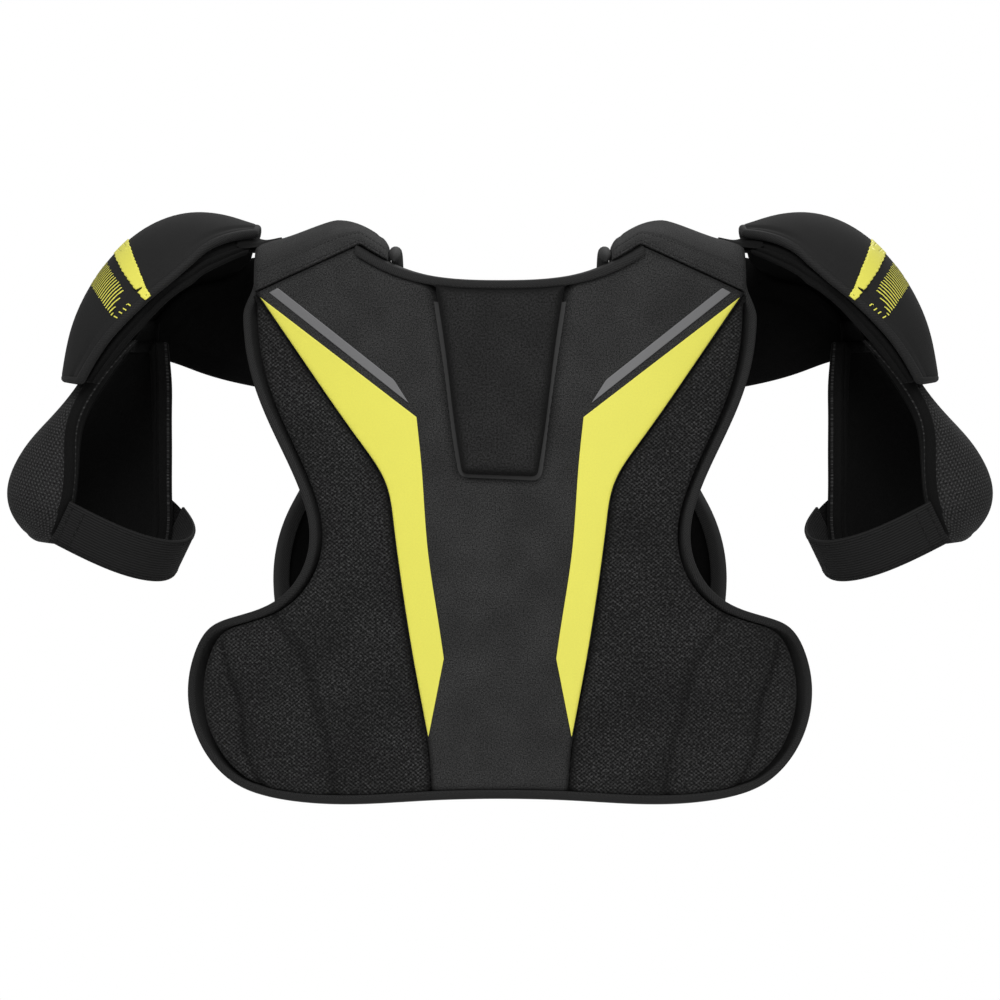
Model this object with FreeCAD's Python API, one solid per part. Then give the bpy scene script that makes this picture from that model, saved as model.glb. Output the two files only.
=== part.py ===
"""Ice-hockey shoulder pads: back panel, front panel, shoulder caps, bicep guards and straps.

Millimetres, +Z up. The wearer faces +Y, so the back panel faces -Y and +X is the wearer's right.
The origin is the middle of the neck opening, level with where the yokes rest on the shoulders.
Right-hand pieces are built and the left-hand ones are their mirror images.
"""
import FreeCAD, Part
import math
import os

os.makedirs("parts", exist_ok=True)

# ---- clearances ----
ply_gap = 0.3            # between layers, and between a hinge roll and its seat
seam_gap = 0.6           # between a yoke's end and the edge it is sewn to
groove = 2.0             # width of the sewn channel between outer panels
binding_width = 7.0      # edge tape on the front and back panels
binding_proud = 1.2      # how far the tape stands above and below the panel
tape_gap = 0.8           # beside the curved edge tapes of the caps and guards

# ---- back panel ----
back_radius = 331.0      # outer face, about a vertical axis
back_axis_y = 210.0
liner_t = 3.0
foam_t = 9.7
plate_t = 2.0
panel_t = 5.7            # outer padded panel, over the foam
spine_pad_t = 5.0
film_t = 0.8             # glued stripe film
neck_half = 105.0        # half the neck opening's width, at its corners
neck_floor_z = -23.0
neck_corner_z = 4.0
neck_power = 2.8         # the neckline is flat in the middle and rises at its corners
shoulder_half = 190.0
shoulder_z = -33.0
waist_half = 140.0       # narrowest place, between the armholes
waist_z = -217.0
wing_root_half = 195.0
wing_root_z = -275.0
wing_half = 232.0        # widest place of the wings
wing_z = -334.0
wing_foot_half = 157.0
wing_foot_z = -414.0
bottom_z = -411.0
spine_top_half = 49.0    # raised spine pad
spine_foot_half = 28.0
spine_foot_z = -170.0
spine_bends = [(0.38, -75.0), (0.72, -132.0)]   # share of the way from top to foot width, height
stripe_tip = (180.0, -36.0)
stripe_elbow = (62.0, -125.0)
stripe_foot = (54.6, -365.0)
stripe_narrow = (42.0, -306.0)
stripe_inner = [(58.5, -165.0), (54.0, -225.0), (46.0, -279.0)]   # between the elbow and the narrow end
stripe_inset = 1.0       # from the channel to the yellow film
bar_half_width = 3.2     # the grey bar beside each yellow stripe
bar_length = 125.0
bar_offset = 7.0         # from the stripe's straight edge to the bar's middle
bar_start = 2.0          # along the stripe's edge from its tip
bar_head_slant = 6.0     # the bar's ends are cut at a slant
bar_foot_slant = 18.0
channel_top = (187.0, -28.0)  # right-hand channel between the centre panel and the wing, from the top down
channel_run = [(150.0, -81.0), (105.0, -145.0), (86.0, -176.0), (80.5, -205.0), (75.0, -247.0), (65.5, -307.0)]
channel_foot = (50.0, -441.0)
plate_side_margin = 14.0  # the spine plate stops short of the channel and of the edge tape
plate_edge_margin = 12.0
reach = 400.0            # half size of the blocks that trim the panels
outline_margin = 20.0    # an outline is cut this far outside a panel's face
panel_depth = 160.0      # and back over the panel's whole curve

# ---- front panel ----
front_radius = 418.0     # outer face, about a vertical axis
front_axis_y = -302.0
chest_pad_t = 9.4
belly_t = 8.4
sternum_pad_t = 5.0
chest_top_z = -38.0
chest_neck_z = -78.0
chest_neck_half = 62.0
chest_shoulder_half = 166.0
chest_waist_half = 146.0
chest_waist_z = -158.0
lobe_half = 173.5        # the widest place, seen through the armholes
lobe_z = -242.0
belly_seam_z = -262.0
chest_foot_half = 105.0
chest_foot_z = -392.0
sternum_plate_t = 3.0
sternum_half = 34.0
sternum_top_z = -92.0
sternum_foot_z = -240.0

# ---- yokes over the shoulders ----
yoke_inner_x = 84.0
yoke_outer_x = 186.5
yoke_peak_x = 124.0
yoke_peak_z = 26.0
yoke_inner_z = 8.0       # top of the yoke at its neck side
yoke_peak_y = -8.0
yoke_t = 13.0
yoke_front_z = -33.0
yoke_front_clear = 8.0   # from the yoke's front end to the chest liner
collar_r = 4.5

# ---- shoulder caps ----
cap_root = (184.0, 22.0)      # silhouette from the yoke out to the tip: x, z
cap_crown = (229.0, 32.0)
cap_brow = (268.0, 22.0)
cap_side = (303.0, -10.0)
cap_flank = (326.0, -52.0)
cap_tip = (335.0, -95.0)
cap_arch_r = 78.0             # fore-and-aft radius of the cap
cap_root_half = 35.0          # half its length fore and aft, at the root, middle and tip
cap_mid_half = 70.0
cap_tip_half = 47.0
cap_cover_t = 6.0
cap_shell_t = 2.0
cap_under_t = 4.0
cap_shell_margin = 5.0        # the hard shell stops short of the cover's edge
cap_under_reach = 9.5         # the under-layer reaches past the cover's edge
cap_tape_w = 2.6
cap_hinge_depth = 10.4        # of the hinge roll below the cap's outer face
cap_roll_r = 2.2
cap_roll_half = 20.0

# ---- bicep guards ----
guard_pad_t = 8.0
guard_plate_t = 2.0
guard_liner_t = 3.0
guard_tape_w = 6.5
guard_plate_margin = 6.0
guard_centre_y = 2.0
guard_front_x = 252.0         # x of the front edge, at guard_front_deg round each row
guard_front_deg = 150.0
bicep_roll_r = 2.0
bicep_roll_half = 15.0
bicep_roll_depth = 11.0       # below the cap's outer face
# height, outer x, rear edge x, front edge angle in degrees, half depth: from the top down
guard_rows = [
    (-66.0, 297.0, 278.0, 140.0, 40.0),
    (-82.0, 311.0, 293.0, 146.0, 44.0),
    (-97.5, 321.4, 306.0, 150.0, 46.5),
    (-118.0, 337.5, 318.5, 150.0, 48.5),
    (-148.0, 363.0, 323.0, 150.0, 52.0),
    (-180.0, 376.5, 324.0, 150.0, 54.0),
    (-200.0, 372.0, 331.0, 146.0, 53.0),
    (-219.0, 356.0, 343.0, 100.0, 47.0),
]

# ---- bicep straps: a flat elastic band in a tilted plane ----
strap_t = 2.0
bicep_strap_w = 37.0
strap_slope_x = 0.5           # rise per unit of x and of y in the band's plane
strap_slope_y = 0.437
strap_hinge = (334.0, -49.15, -203.5)
strap_roll_r = 2.0
strap_tab_t = 1.6
strap_tab_border = 3.0        # the hook tab is narrower than the band, each side
strap_path = [(-34.0, -3.0), (-66.0, 2.0), (-90.0, 20.0), (-98.0, 45.0), (-93.0, 68.0), (-84.0, 83.0)]
strap_tab_path = [(-83.7, 83.5), (-78.5, 89.3), (-71.0, 95.5)]

# ---- torso straps ----
torso_strap_w = 38.0
torso_strap_z = -322.0        # middle of the strap
torso_strap_t = 2.0
torso_sewn_x = 139.0
patch_t = 1.5
patch_to_x = wing_half - 16.0
patch_from_x = patch_to_x - 34.0
patch_border = 2.0            # the patch is wider than the strap, and the strap's hook tab narrower
torso_bends = [(59.0, -31.3), (79.0, -56.3)]   # of the strap's path, from where it is sewn on: x, y

# ---- webbing between each yoke and the front panel ----
web_x = 98.0                  # inner edge
web_w = 12.0
web_roll_r = 2.5
web_inward = 5.0              # of the roll's axis from the yoke's front end
web_drop = 24.0               # from the roll's axis to the tongue's end
web_t = 2.0
web_seat_t = 1.6

# ---- front-shoulder pads ----
clavicle_y = 51.0             # rear face
clavicle_t = 6.0
clavicle_outer_x = 262.0
clavicle_outer_z = -62.0
clavicle_foot_z = -106.0
clavicle_inner_x = 152.0
clavicle_top = [(192.5, -16.0), (228.0, -20.0), (250.0, -38.0)]     # its outline beside the cap's hinge
clavicle_corner = (254.0, -81.0)
clavicle_hem = [(232.0, -89.0), (208.0, -96.0)]

Vec = FreeCAD.Vector
MIRROR_POINT = Vec(0, 0, 0)
MIRROR_NORMAL = Vec(1, 0, 0)
bodies = {}


# ---- helpers ----
def keep(name, shape):
    """Write one node's solids to its own file."""
    shape.exportStep("parts/%s.step" % name)
    bodies[name] = shape


def keep_pair(name, shape):
    """Write the right-hand piece and its mirror image."""
    keep(name + "_right", shape)
    keep(name + "_left", shape.mirror(MIRROR_POINT, MIRROR_NORMAL))


def blend_value(a, b, share):
    return a + (b - a) * share


def run_curve(points):
    """A straight line through two points, or a smooth curve through more."""
    if len(points) == 2:
        return Part.LineSegment(points[0], points[1])
    curve = Part.BSplineCurve()
    curve.interpolate(points)
    return curve


def plane_points(run, y=0.0):
    return [Vec(x, y, z) for x, z in run]


def outline_prism(runs, y_from, y_to):
    """A closed outline in the XZ plane, made solid between two values of y."""
    edges = [run_curve(plane_points(run, y_from)).toShape() for run in runs]
    return Part.Face(Part.Wire(edges)).extrude(Vec(0, y_to - y_from, 0))


def mirrored_run(run):
    return [(-x, z) for x, z in reversed(run)]


def inset_outline(runs, distance):
    """The same clockwise outline, moved inward by a distance, with mitred corners."""
    samples = []
    for run in runs:
        curve = run_curve(plane_points(run))
        count = 1 if len(run) == 2 else 2 * (len(run) - 1)
        first, last = curve.FirstParameter, curve.LastParameter
        stations = []
        for i in range(count + 1):
            u = blend_value(first, last, i / count)
            point = curve.value(u)
            tangent = Vec(*curve.tangent(u)[0]) if len(run) > 2 else curve.value(last) - curve.value(first)
            tangent.normalize()
            stations.append((point, Vec(tangent.z, 0, -tangent.x)))
        samples.append(stations)
    moved = []
    for i, stations in enumerate(samples):
        before = samples[i - 1][-1][1]
        after = samples[(i + 1) % len(samples)][0][1]
        run = []
        for j, (point, normal) in enumerate(stations):
            if j == 0:
                push = (before + normal) * (1.0 / (1.0 + before.dot(normal)))
            elif j == len(stations) - 1:
                push = (after + normal) * (1.0 / (1.0 + after.dot(normal)))
            else:
                push = normal
            place = point + push * distance
            run.append((place.x, place.z))
        moved.append(run)
    return moved


def trim_block(x_from, x_to, z_from, z_to):
    """A block over those ranges of x and z, right through both panels."""
    return Part.makeBox(x_to - x_from, 2 * reach, z_to - z_from, Vec(x_from, -reach, z_from))


def ring(axis_y, r_in, r_out):
    """A tall tube about the vertical axis at y = axis_y, over the height of the panels."""
    base = Vec(0, axis_y, wing_foot_z - reach)
    return Part.makeCylinder(r_out, 2 * reach, base).cut(Part.makeCylinder(r_in, 2 * reach, base))


def back_layer(shape, r_in, r_out):
    return shape.common(ring(back_axis_y, r_in, r_out))


def front_layer(shape, r_in, r_out):
    return shape.common(ring(front_axis_y, r_in, r_out))


def section_wire(outer, inner):
    """A closed section: outer curve, end, inner curve back, end."""
    edges = [run_curve(outer).toShape(), Part.LineSegment(outer[-1], inner[-1]).toShape(),
             run_curve(list(reversed(inner))).toShape(), Part.LineSegment(inner[0], outer[0]).toShape()]
    return Part.Wire(edges)


def loft(wires):
    return Part.makeLoft(wires, True, False)


# ---- back panel ----
def neckline_z(x):
    return neck_floor_z + (neck_corner_z - neck_floor_z) * (abs(x) / neck_half) ** neck_power


def seam_z(x):
    """Height of the back panel's top edge under the yokes."""
    if x < neck_half:
        return neckline_z(x)
    return blend_value(neck_corner_z, shoulder_z, (x - neck_half) / (shoulder_half - neck_half))


def back_outline():
    """Clockwise from the neckline's left corner."""
    neck = [(neck_half * s, neckline_z(neck_half * s)) for s in (-1, -0.75, -0.5, 0, 0.5, 0.75, 1)]
    seam = [(neck_half, neck_corner_z), (shoulder_half, shoulder_z)]
    side = []
    for t in (0.0, 0.2, 0.4, 0.6, 0.8, 1.0):
        share = 0.5 * (1 + math.cos(math.pi * t ** 1.3))
        side.append((blend_value(waist_half, shoulder_half, share), blend_value(shoulder_z, waist_z, t)))
    side.append((blend_value(waist_half, wing_root_half, 0.15), blend_value(waist_z, wing_root_z, 0.48)))
    side.append((blend_value(waist_half, wing_root_half, 0.44), blend_value(waist_z, wing_root_z, 0.78)))
    for degrees in (0, 30, 60, 90):
        a = math.radians(degrees)
        side.append((wing_root_half + (wing_half - wing_root_half) * math.sin(a),
                     wing_root_z + (wing_z - wing_root_z) * (1 - math.cos(a))))
    for degrees in (30, 60, 90):
        a = math.radians(degrees)
        side.append((wing_half + (wing_foot_half - wing_half) * (1 - math.cos(a)),
                     wing_z + (wing_foot_z - wing_z) * math.sin(a)))
    side.append((wing_foot_half * 0.7, wing_foot_z - 2.0))
    side.append((wing_foot_half * 0.35, blend_value(wing_foot_z, bottom_z, 0.45)))
    round_trip = side + [(0.0, bottom_z)] + mirrored_run(side)
    return [neck, seam, round_trip, mirrored_run(seam)]


def panel_boundary():
    """Right-hand channel between the centre panel and the wing, from the top down."""
    return [channel_top] + channel_run + [stripe_foot, channel_foot]


def centre_region(extra):
    """The centre panel's region, widened by an extra amount on both sides."""
    edge = [(x + extra, z) for x, z in panel_boundary()]
    top, foot = edge[0], edge[-1]
    lid = neck_corner_z + 60
    return [[(-top[0], lid), (top[0], lid)], [(top[0], lid), top], edge,
            [foot, (-foot[0], foot[1])], mirrored_run(edge), [(-top[0], top[1]), (-top[0], lid)]]


def back_y_span():
    return back_axis_y - back_radius - outline_margin, back_axis_y - back_radius + panel_depth


def build_back():
    y0, y1 = back_y_span()
    outline = back_outline()
    whole = outline_prism(outline, y0, y1)
    inner = outline_prism(inset_outline(outline, binding_width), y0, y1)
    field = outline_prism(inset_outline(outline, binding_width + ply_gap), y0, y1)
    r_face = back_radius
    r_plate = r_face - panel_t
    r_foam = r_plate - ply_gap
    r_liner = r_foam - foam_t - ply_gap
    tape = back_layer(whole.cut(inner), r_liner - liner_t - binding_proud, r_face + binding_proud)
    keep("back_binding", tape)
    keep("back_liner", back_layer(field, r_liner - liner_t, r_liner))
    keep("back_foam", back_layer(field, r_foam - foam_t, r_foam))
    plate_region = outline_prism(centre_region(-plate_side_margin), y0, y1)
    plate_field = outline_prism(inset_outline(outline, binding_width + plate_edge_margin), y0, y1)
    keep("spine_plate", back_layer(plate_field.common(plate_region), r_plate, r_plate + plate_t))
    centre = field.common(outline_prism(centre_region(0.0), y0, y1))
    keep("back_centre_panel", back_layer(centre, r_plate + plate_t + ply_gap, r_face))
    wings = field.cut(outline_prism(centre_region(groove), y0, y1))
    keep_pair("back_wing", back_layer(wings.common(trim_block(0, 2 * reach, bottom_z - reach, reach)),
                                      r_plate, r_face))
    above = neck_corner_z + binding_width
    spine_side = [(blend_value(spine_top_half, spine_foot_half, share), z) for share, z in spine_bends]
    spine = [[(-spine_top_half, above), (spine_top_half, above)],
             [(spine_top_half, above), (spine_top_half, neck_floor_z)],
             [(spine_top_half, neck_floor_z)] + spine_side + [(spine_foot_half, spine_foot_z)],
             [(spine_foot_half, spine_foot_z), (-spine_foot_half, spine_foot_z)]]
    spine += [mirrored_run(spine[2]), mirrored_run(spine[1])]
    pad = field.common(outline_prism(spine, y0, y1))
    keep("spine_pad", back_layer(pad, r_face + ply_gap, r_face + ply_gap + spine_pad_t))
    r_film = r_face + ply_gap
    edge = [(x - stripe_inset, z) for x, z in panel_boundary()[1:-1]]
    stripe = [[stripe_tip, stripe_elbow],
              [stripe_elbow] + stripe_inner + [stripe_narrow],
              [stripe_narrow, edge[-1]],
              list(reversed(edge)), [edge[0], stripe_tip]]
    keep_pair("stripe_yellow", back_layer(outline_prism(stripe, y0, y1), r_film, r_film + film_t))
    along = Vec(stripe_elbow[0] - stripe_tip[0], 0, stripe_elbow[1] - stripe_tip[1]).normalize()
    across = Vec(along.z, 0, -along.x)
    if across.z < 0:
        across = across * -1
    start = Vec(stripe_tip[0], 0, stripe_tip[1]) + along * bar_start + across * bar_offset
    corners = [start - across * bar_half_width, start - along * bar_head_slant + across * bar_half_width,
               start + along * bar_length + across * bar_half_width,
               start + along * (bar_length + bar_foot_slant) - across * bar_half_width]
    bar = [[(p.x, p.z), (q.x, q.z)] for p, q in zip(corners, corners[1:] + corners[:1])]
    keep_pair("stripe_grey", back_layer(outline_prism(bar, y0, y1).common(field), r_film, r_film + film_t))
    patch_half = torso_strap_w / 2 + patch_border
    patch = trim_block(patch_from_x, patch_to_x, torso_strap_z - patch_half, torso_strap_z + patch_half)
    r_patch = r_liner - liner_t - ply_gap
    keep_pair("wing_loop_patch", back_layer(patch, r_patch - patch_t, r_patch))


# ---- front panel ----
def chest_outline():
    neck = [(-chest_neck_half, chest_top_z - 8), (-chest_neck_half * 0.6, chest_neck_z + 9),
            (0, chest_neck_z), (chest_neck_half * 0.6, chest_neck_z + 9), (chest_neck_half, chest_top_z - 8)]
    top = [(chest_neck_half, chest_top_z - 8), (chest_neck_half + 24, chest_top_z)]
    shoulder = [top[1], (chest_shoulder_half, chest_top_z)]
    side = [(chest_shoulder_half, chest_top_z), (chest_shoulder_half - 2, chest_top_z - 42),
            (chest_waist_half + 4, blend_value(chest_top_z, chest_waist_z, 0.75)),
            (chest_waist_half, chest_waist_z),
            (blend_value(chest_waist_half, lobe_half, 0.55), blend_value(chest_waist_z, lobe_z, 0.42)),
            (lobe_half, lobe_z), (lobe_half - 4, lobe_z - 45),
            (blend_value(lobe_half, chest_foot_half, 0.35), blend_value(lobe_z, chest_foot_z, 0.68)),
            (chest_foot_half, chest_foot_z + 6)]
    foot = side[-1:] + [(chest_foot_half * 0.5, chest_foot_z + 1), (0, chest_foot_z)]
    foot += mirrored_run(foot)[1:]
    return [neck, top, shoulder, side, foot, mirrored_run(side), mirrored_run(shoulder), mirrored_run(top)]


def build_front():
    y1 = front_axis_y + front_radius + outline_margin
    y0 = y1 - panel_depth
    outline = chest_outline()
    whole = outline_prism(outline, y0, y1)
    inner = outline_prism(inset_outline(outline, binding_width), y0, y1)
    field = outline_prism(inset_outline(outline, binding_width + ply_gap), y0, y1)
    r_face = front_radius
    r_pad = r_face - chest_pad_t
    r_plate = r_pad - ply_gap
    r_liner = r_plate - sternum_plate_t - ply_gap
    keep("chest_binding", front_layer(whole.cut(inner), r_liner - liner_t - binding_proud,
                                      r_face + binding_proud))
    keep("chest_liner", front_layer(field, r_liner - liner_t, r_liner))
    above = trim_block(-reach, reach, belly_seam_z + groove, reach)
    below = trim_block(-reach, reach, belly_seam_z - reach, belly_seam_z)
    right = trim_block(groove / 2, reach, belly_seam_z - reach, reach)
    plate_field = outline_prism(inset_outline(outline, binding_width + plate_side_margin), y0, y1)
    keep("sternum_plate", front_layer(plate_field.common(above), r_plate - sternum_plate_t, r_plate))
    keep_pair("chest_pad", front_layer(field.common(above).common(right), r_pad, r_face))
    keep("belly_pad", front_layer(field.common(below), r_face - belly_t, r_face))
    sternum = [[(-sternum_half * 0.8, sternum_top_z), (sternum_half * 0.8, sternum_top_z)],
               [(sternum_half * 0.8, sternum_top_z), (sternum_half, sternum_top_z - 40),
                (sternum_half * 0.9, sternum_top_z - 100), (sternum_half * 0.55, sternum_foot_z)],
               [(sternum_half * 0.55, sternum_foot_z), (-sternum_half * 0.55, sternum_foot_z)]]
    sternum += [mirrored_run(sternum[1])]
    keep("sternum_pad", front_layer(outline_prism(sternum, y0, y1), r_face + ply_gap,
                                    r_face + ply_gap + sternum_pad_t))
    return r_liner - liner_t


# ---- yokes ----
def back_face_y(x, radius):
    return back_axis_y - math.sqrt(radius ** 2 - x ** 2)


def front_face_y(x, radius):
    return front_axis_y + math.sqrt(radius ** 2 - x ** 2)


def yoke_top_z(x, outer_z):
    """Height of the yoke over the shoulder: up from the neck, then down to the cap's hinge."""
    if x < yoke_peak_x:
        s = (yoke_peak_x - x) / (yoke_peak_x - yoke_inner_x)
        return blend_value(yoke_peak_z, yoke_inner_z, s ** 2)
    s = (x - yoke_peak_x) / (yoke_outer_x - yoke_peak_x)
    return blend_value(yoke_peak_z, outer_z, math.sin(s * math.pi / 2) ** 1.4)


def yoke_arch(x, outer_z, chest_r, depth, lift=0.0):
    """Points of the yoke's arch from back to front in the plane at x, a depth below its face."""
    top = yoke_top_z(x, outer_z) - depth
    back_z = seam_z(x) + seam_gap + lift
    back_y = back_face_y(x, back_radius - depth * 1.4)
    front_y = front_face_y(x, chest_r - yoke_front_clear) - depth
    points = []
    for degrees in range(0, 90, 18):
        a = math.radians(degrees)
        points.append(Vec(x, yoke_peak_y - (yoke_peak_y - back_y) * math.cos(a),
                          back_z + (top - back_z) * math.sin(a)))
    for degrees in range(90, 181, 18):
        a = math.radians(degrees)
        points.append(Vec(x, yoke_peak_y - (front_y - yoke_peak_y) * math.cos(a),
                          yoke_front_z + (top - yoke_front_z) * math.sin(a)))
    return points


def build_yokes(outer_z, chest_r):
    stations = [blend_value(yoke_inner_x, yoke_outer_x, s) for s in (0, 0.2, 0.4, 0.6, 0.8, 1)]
    wires = []
    for x in stations:
        rise = yoke_top_z(x, outer_z) - seam_z(x)
        depth = min(yoke_t, 0.62 * rise)
        wires.append(section_wire(yoke_arch(x, outer_z, chest_r, 0.0),
                                  yoke_arch(x, outer_z, chest_r, depth)))
    keep_pair("yoke", loft(wires))
    x = yoke_inner_x - collar_r - ply_gap
    over_tape = seam_z(yoke_inner_x) - seam_z(x) + ply_gap
    arch = yoke_arch(x, outer_z, chest_r, collar_r * 0.5, over_tape)[1:]
    path = Part.Wire([run_curve(arch).toShape()])
    start = arch[0]
    direction = (arch[1] - arch[0]).normalize()
    profile = Part.Wire([Part.makeCircle(collar_r, start, direction)])
    keep_pair("collar_roll", path.makePipeShell([profile], True, True))


# ---- shoulder caps ----
def cap_stations(count=7):
    """Places along the cap's silhouette: share, point, outward normal, tangent, half length."""
    silhouette = run_curve([Vec(x, 0, z) for x, z in
                            (cap_root, cap_crown, cap_brow, cap_side, cap_flank, cap_tip)])
    first, last = silhouette.FirstParameter, silhouette.LastParameter
    stations = []
    for i in range(count):
        share = i / (count - 1)
        u = blend_value(first, last, share)
        tangent = Vec(*silhouette.tangent(u)[0]).normalize()
        half = blend_value(cap_root_half, cap_tip_half, share)
        half += (cap_mid_half - (cap_root_half + cap_tip_half) / 2) * max(0.0, math.sin(math.pi * share)) ** 0.8
        stations.append((silhouette.value(u), Vec(-tangent.z, 0, tangent.x), tangent, half))
    return stations


def cap_shell(stations, depth_from, depth_to, start_of, end_of):
    """A shell between two depths, each section running between two angles of its station."""
    wires = []
    for point, normal, _, half in stations:
        centre = point - normal * cap_arch_r
        edge = math.asin(half / cap_arch_r)
        a0, a1 = start_of(edge), end_of(edge)
        rows = []
        for depth in (depth_from, depth_to):
            radius = cap_arch_r - depth
            rows.append([centre + normal * (radius * math.cos(blend_value(a0, a1, i / 8)))
                         + Vec(0, radius * math.sin(blend_value(a0, a1, i / 8)), 0) for i in range(9)])
        wires.append(section_wire(rows[0], rows[1]))
    return loft(wires)


def build_caps():
    stations = cap_stations()
    d_shell = cap_cover_t + ply_gap
    d_under = d_shell + cap_shell_t + ply_gap
    margin = cap_shell_margin / cap_arch_r
    reach = cap_under_reach / cap_arch_r
    tape = cap_tape_w / cap_arch_r
    gap = tape_gap / cap_arch_r
    keep_pair("cap_cover", cap_shell(stations, 0.0, cap_cover_t, lambda e: -e, lambda e: e))
    keep_pair("cap_hard_shell", cap_shell(stations, d_shell, d_shell + cap_shell_t,
                                          lambda e: margin - e, lambda e: e - margin))
    keep_pair("cap_under_layer", cap_shell(stations, d_under, d_under + cap_under_t,
                                           lambda e: -e - reach, lambda e: e + reach))
    rear = cap_shell(stations, -0.6, cap_cover_t + 0.2, lambda e: -e - gap - tape, lambda e: -e - gap)
    fore = cap_shell(stations, -0.6, cap_cover_t + 0.2, lambda e: e + gap, lambda e: e + gap + tape)
    keep_pair("cap_edge_tape", Part.makeCompound([rear, fore]))
    point, normal, tangent, _ = stations[0]
    hinge = point - normal * cap_hinge_depth - tangent * (cap_roll_r + ply_gap)
    keep_pair("cap_hinge_web", Part.makeCylinder(cap_roll_r, 2 * cap_roll_half,
                                                 Vec(hinge.x, -cap_roll_half, hinge.z), Vec(0, 1, 0)))
    point, normal, tangent, _ = stations[-1]
    low = point - normal * bicep_roll_depth + tangent * (bicep_roll_r + ply_gap)
    return hinge, low


# ---- bicep guards ----
def guard_ellipse(row):
    """Centre x and half width of a row, from its outer x and its front edge."""
    outer_x = row[1]
    spread = 1.0 - math.cos(math.radians(guard_front_deg))
    half = (outer_x - guard_front_x) / spread
    return outer_x - half, half


def guard_edges(row):
    """Angles of a row's rear and front edges, in radians."""
    centre_x, half_x = guard_ellipse(row)
    rear = -math.acos(max(-1.0, min(1.0, (row[2] - centre_x) / half_x)))
    return rear, math.radians(row[3])


def guard_shell(depth_from, depth_to, start_of, end_of, rows=guard_rows):
    """A C-shaped shell between two depths; each row runs between two angles in radians."""
    wires = []
    for row in rows:
        z, half_y = row[0], row[4]
        centre_x, half_x = guard_ellipse(row)
        rear, front = guard_edges(row)
        a0, a1 = start_of(rear, half_y), end_of(front, half_y)
        curves = []
        for depth in (depth_from, depth_to):
            ax, ay = half_x - depth, half_y - depth
            curves.append([Vec(centre_x + ax * math.cos(blend_value(a0, a1, i / 12)),
                               guard_centre_y + ay * math.sin(blend_value(a0, a1, i / 12)), z)
                           for i in range(13)])
        wires.append(section_wire(curves[0], curves[1]))
    return loft(wires)


def build_guards(low):
    tape = guard_tape_w
    d_plate = guard_pad_t + ply_gap
    d_liner = d_plate + guard_plate_t + ply_gap
    d_end = d_liner + guard_liner_t
    rear_in = lambda extra: (lambda rear, half: rear + extra / half)
    front_in = lambda extra: (lambda front, half: front - extra / half)
    inset = tape + tape_gap
    keep_pair("bicep_pad", guard_shell(0.0, guard_pad_t, rear_in(inset), front_in(inset)))
    margin = tape + guard_plate_margin
    keep_pair("bicep_plate", guard_shell(d_plate, d_plate + guard_plate_t, rear_in(margin),
                                         front_in(margin), guard_rows[1:-1]))
    keep_pair("bicep_liner", guard_shell(d_liner, d_end, rear_in(inset), front_in(inset)))
    strips = [guard_tape(d_end, tape, at_rear) for at_rear in (True, False)]
    keep_pair("bicep_edge_tape", Part.makeCompound(strips))
    keep_pair("bicep_web", Part.makeCylinder(bicep_roll_r, 2 * bicep_roll_half,
                                             Vec(low.x, -bicep_roll_half, low.z), Vec(0, 1, 0)))


def guard_tape(depth, width, at_rear):
    """Edge tape along the guard's rear or front edge, over its whole thickness."""
    wires = []
    for row in guard_rows:
        z, half_y = row[0], row[4]
        centre_x, half_x = guard_ellipse(row)
        rear, front = guard_edges(row)
        if at_rear:
            a0, a1 = rear, rear + width / half_y
        else:
            a0, a1 = front - width / half_y, front
        curves = []
        for d in (0.0, depth):
            curves.append([Vec(centre_x + (half_x - d) * math.cos(blend_value(a0, a1, i / 2)),
                               guard_centre_y + (half_y - d) * math.sin(blend_value(a0, a1, i / 2)), z)
                           for i in range(3)])
        wires.append(section_wire(curves[0], curves[1]))
    return loft(wires)


# ---- straps ----
def band(path, thickness, offset=0.0):
    """A closed flat section along a path of (x, y) points: a thin strip seen on edge."""
    curve = run_curve([Vec(x, y, 0) for x, y in path])
    count = 2 * (len(path) - 1)
    near, far = [], []
    for i in range(count + 1):
        u = blend_value(curve.FirstParameter, curve.LastParameter, i / count)
        point = curve.value(u)
        tangent = Vec(*curve.tangent(u)[0]).normalize()
        side = Vec(-tangent.y, tangent.x, 0)
        near.append(point + side * (offset + thickness / 2))
        far.append(point + side * (offset - thickness / 2))
    return Part.Face(section_wire(near, far))


def strap_axis():
    return Vec(-strap_slope_x, -strap_slope_y, 1.0).normalize()


def build_bicep_strap():
    """A band in the tilted plane through strap_hinge, from the rear edge round to the front tab."""
    hx, hy, hz = strap_hinge
    axis = strap_axis()
    flat = band([(-strap_roll_r, 0.0)] + strap_path, strap_t)
    strip = flat.extrude(Vec(0, 0, bicep_strap_w))
    strip.translate(Vec(0, 0, -bicep_strap_w / 2))
    tab_w = bicep_strap_w - 2 * strap_tab_border
    tab = band(strap_tab_path, strap_tab_t).extrude(Vec(0, 0, tab_w))
    tab.translate(Vec(0, 0, -tab_w / 2))
    roll = Part.makeCylinder(strap_roll_r, bicep_strap_w, Vec(0, 0, -bicep_strap_w / 2))
    placement = FreeCAD.Placement(Vec(hx, hy, hz), FreeCAD.Rotation(Vec(0, 0, 1), axis))
    strap = strip.fuse(roll)
    for shape in (strap, tab):
        shape.Placement = placement
    keep_pair("bicep_strap", strap)
    keep_pair("bicep_strap_tab", tab)
    return Vec(hx, hy, hz), axis


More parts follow.
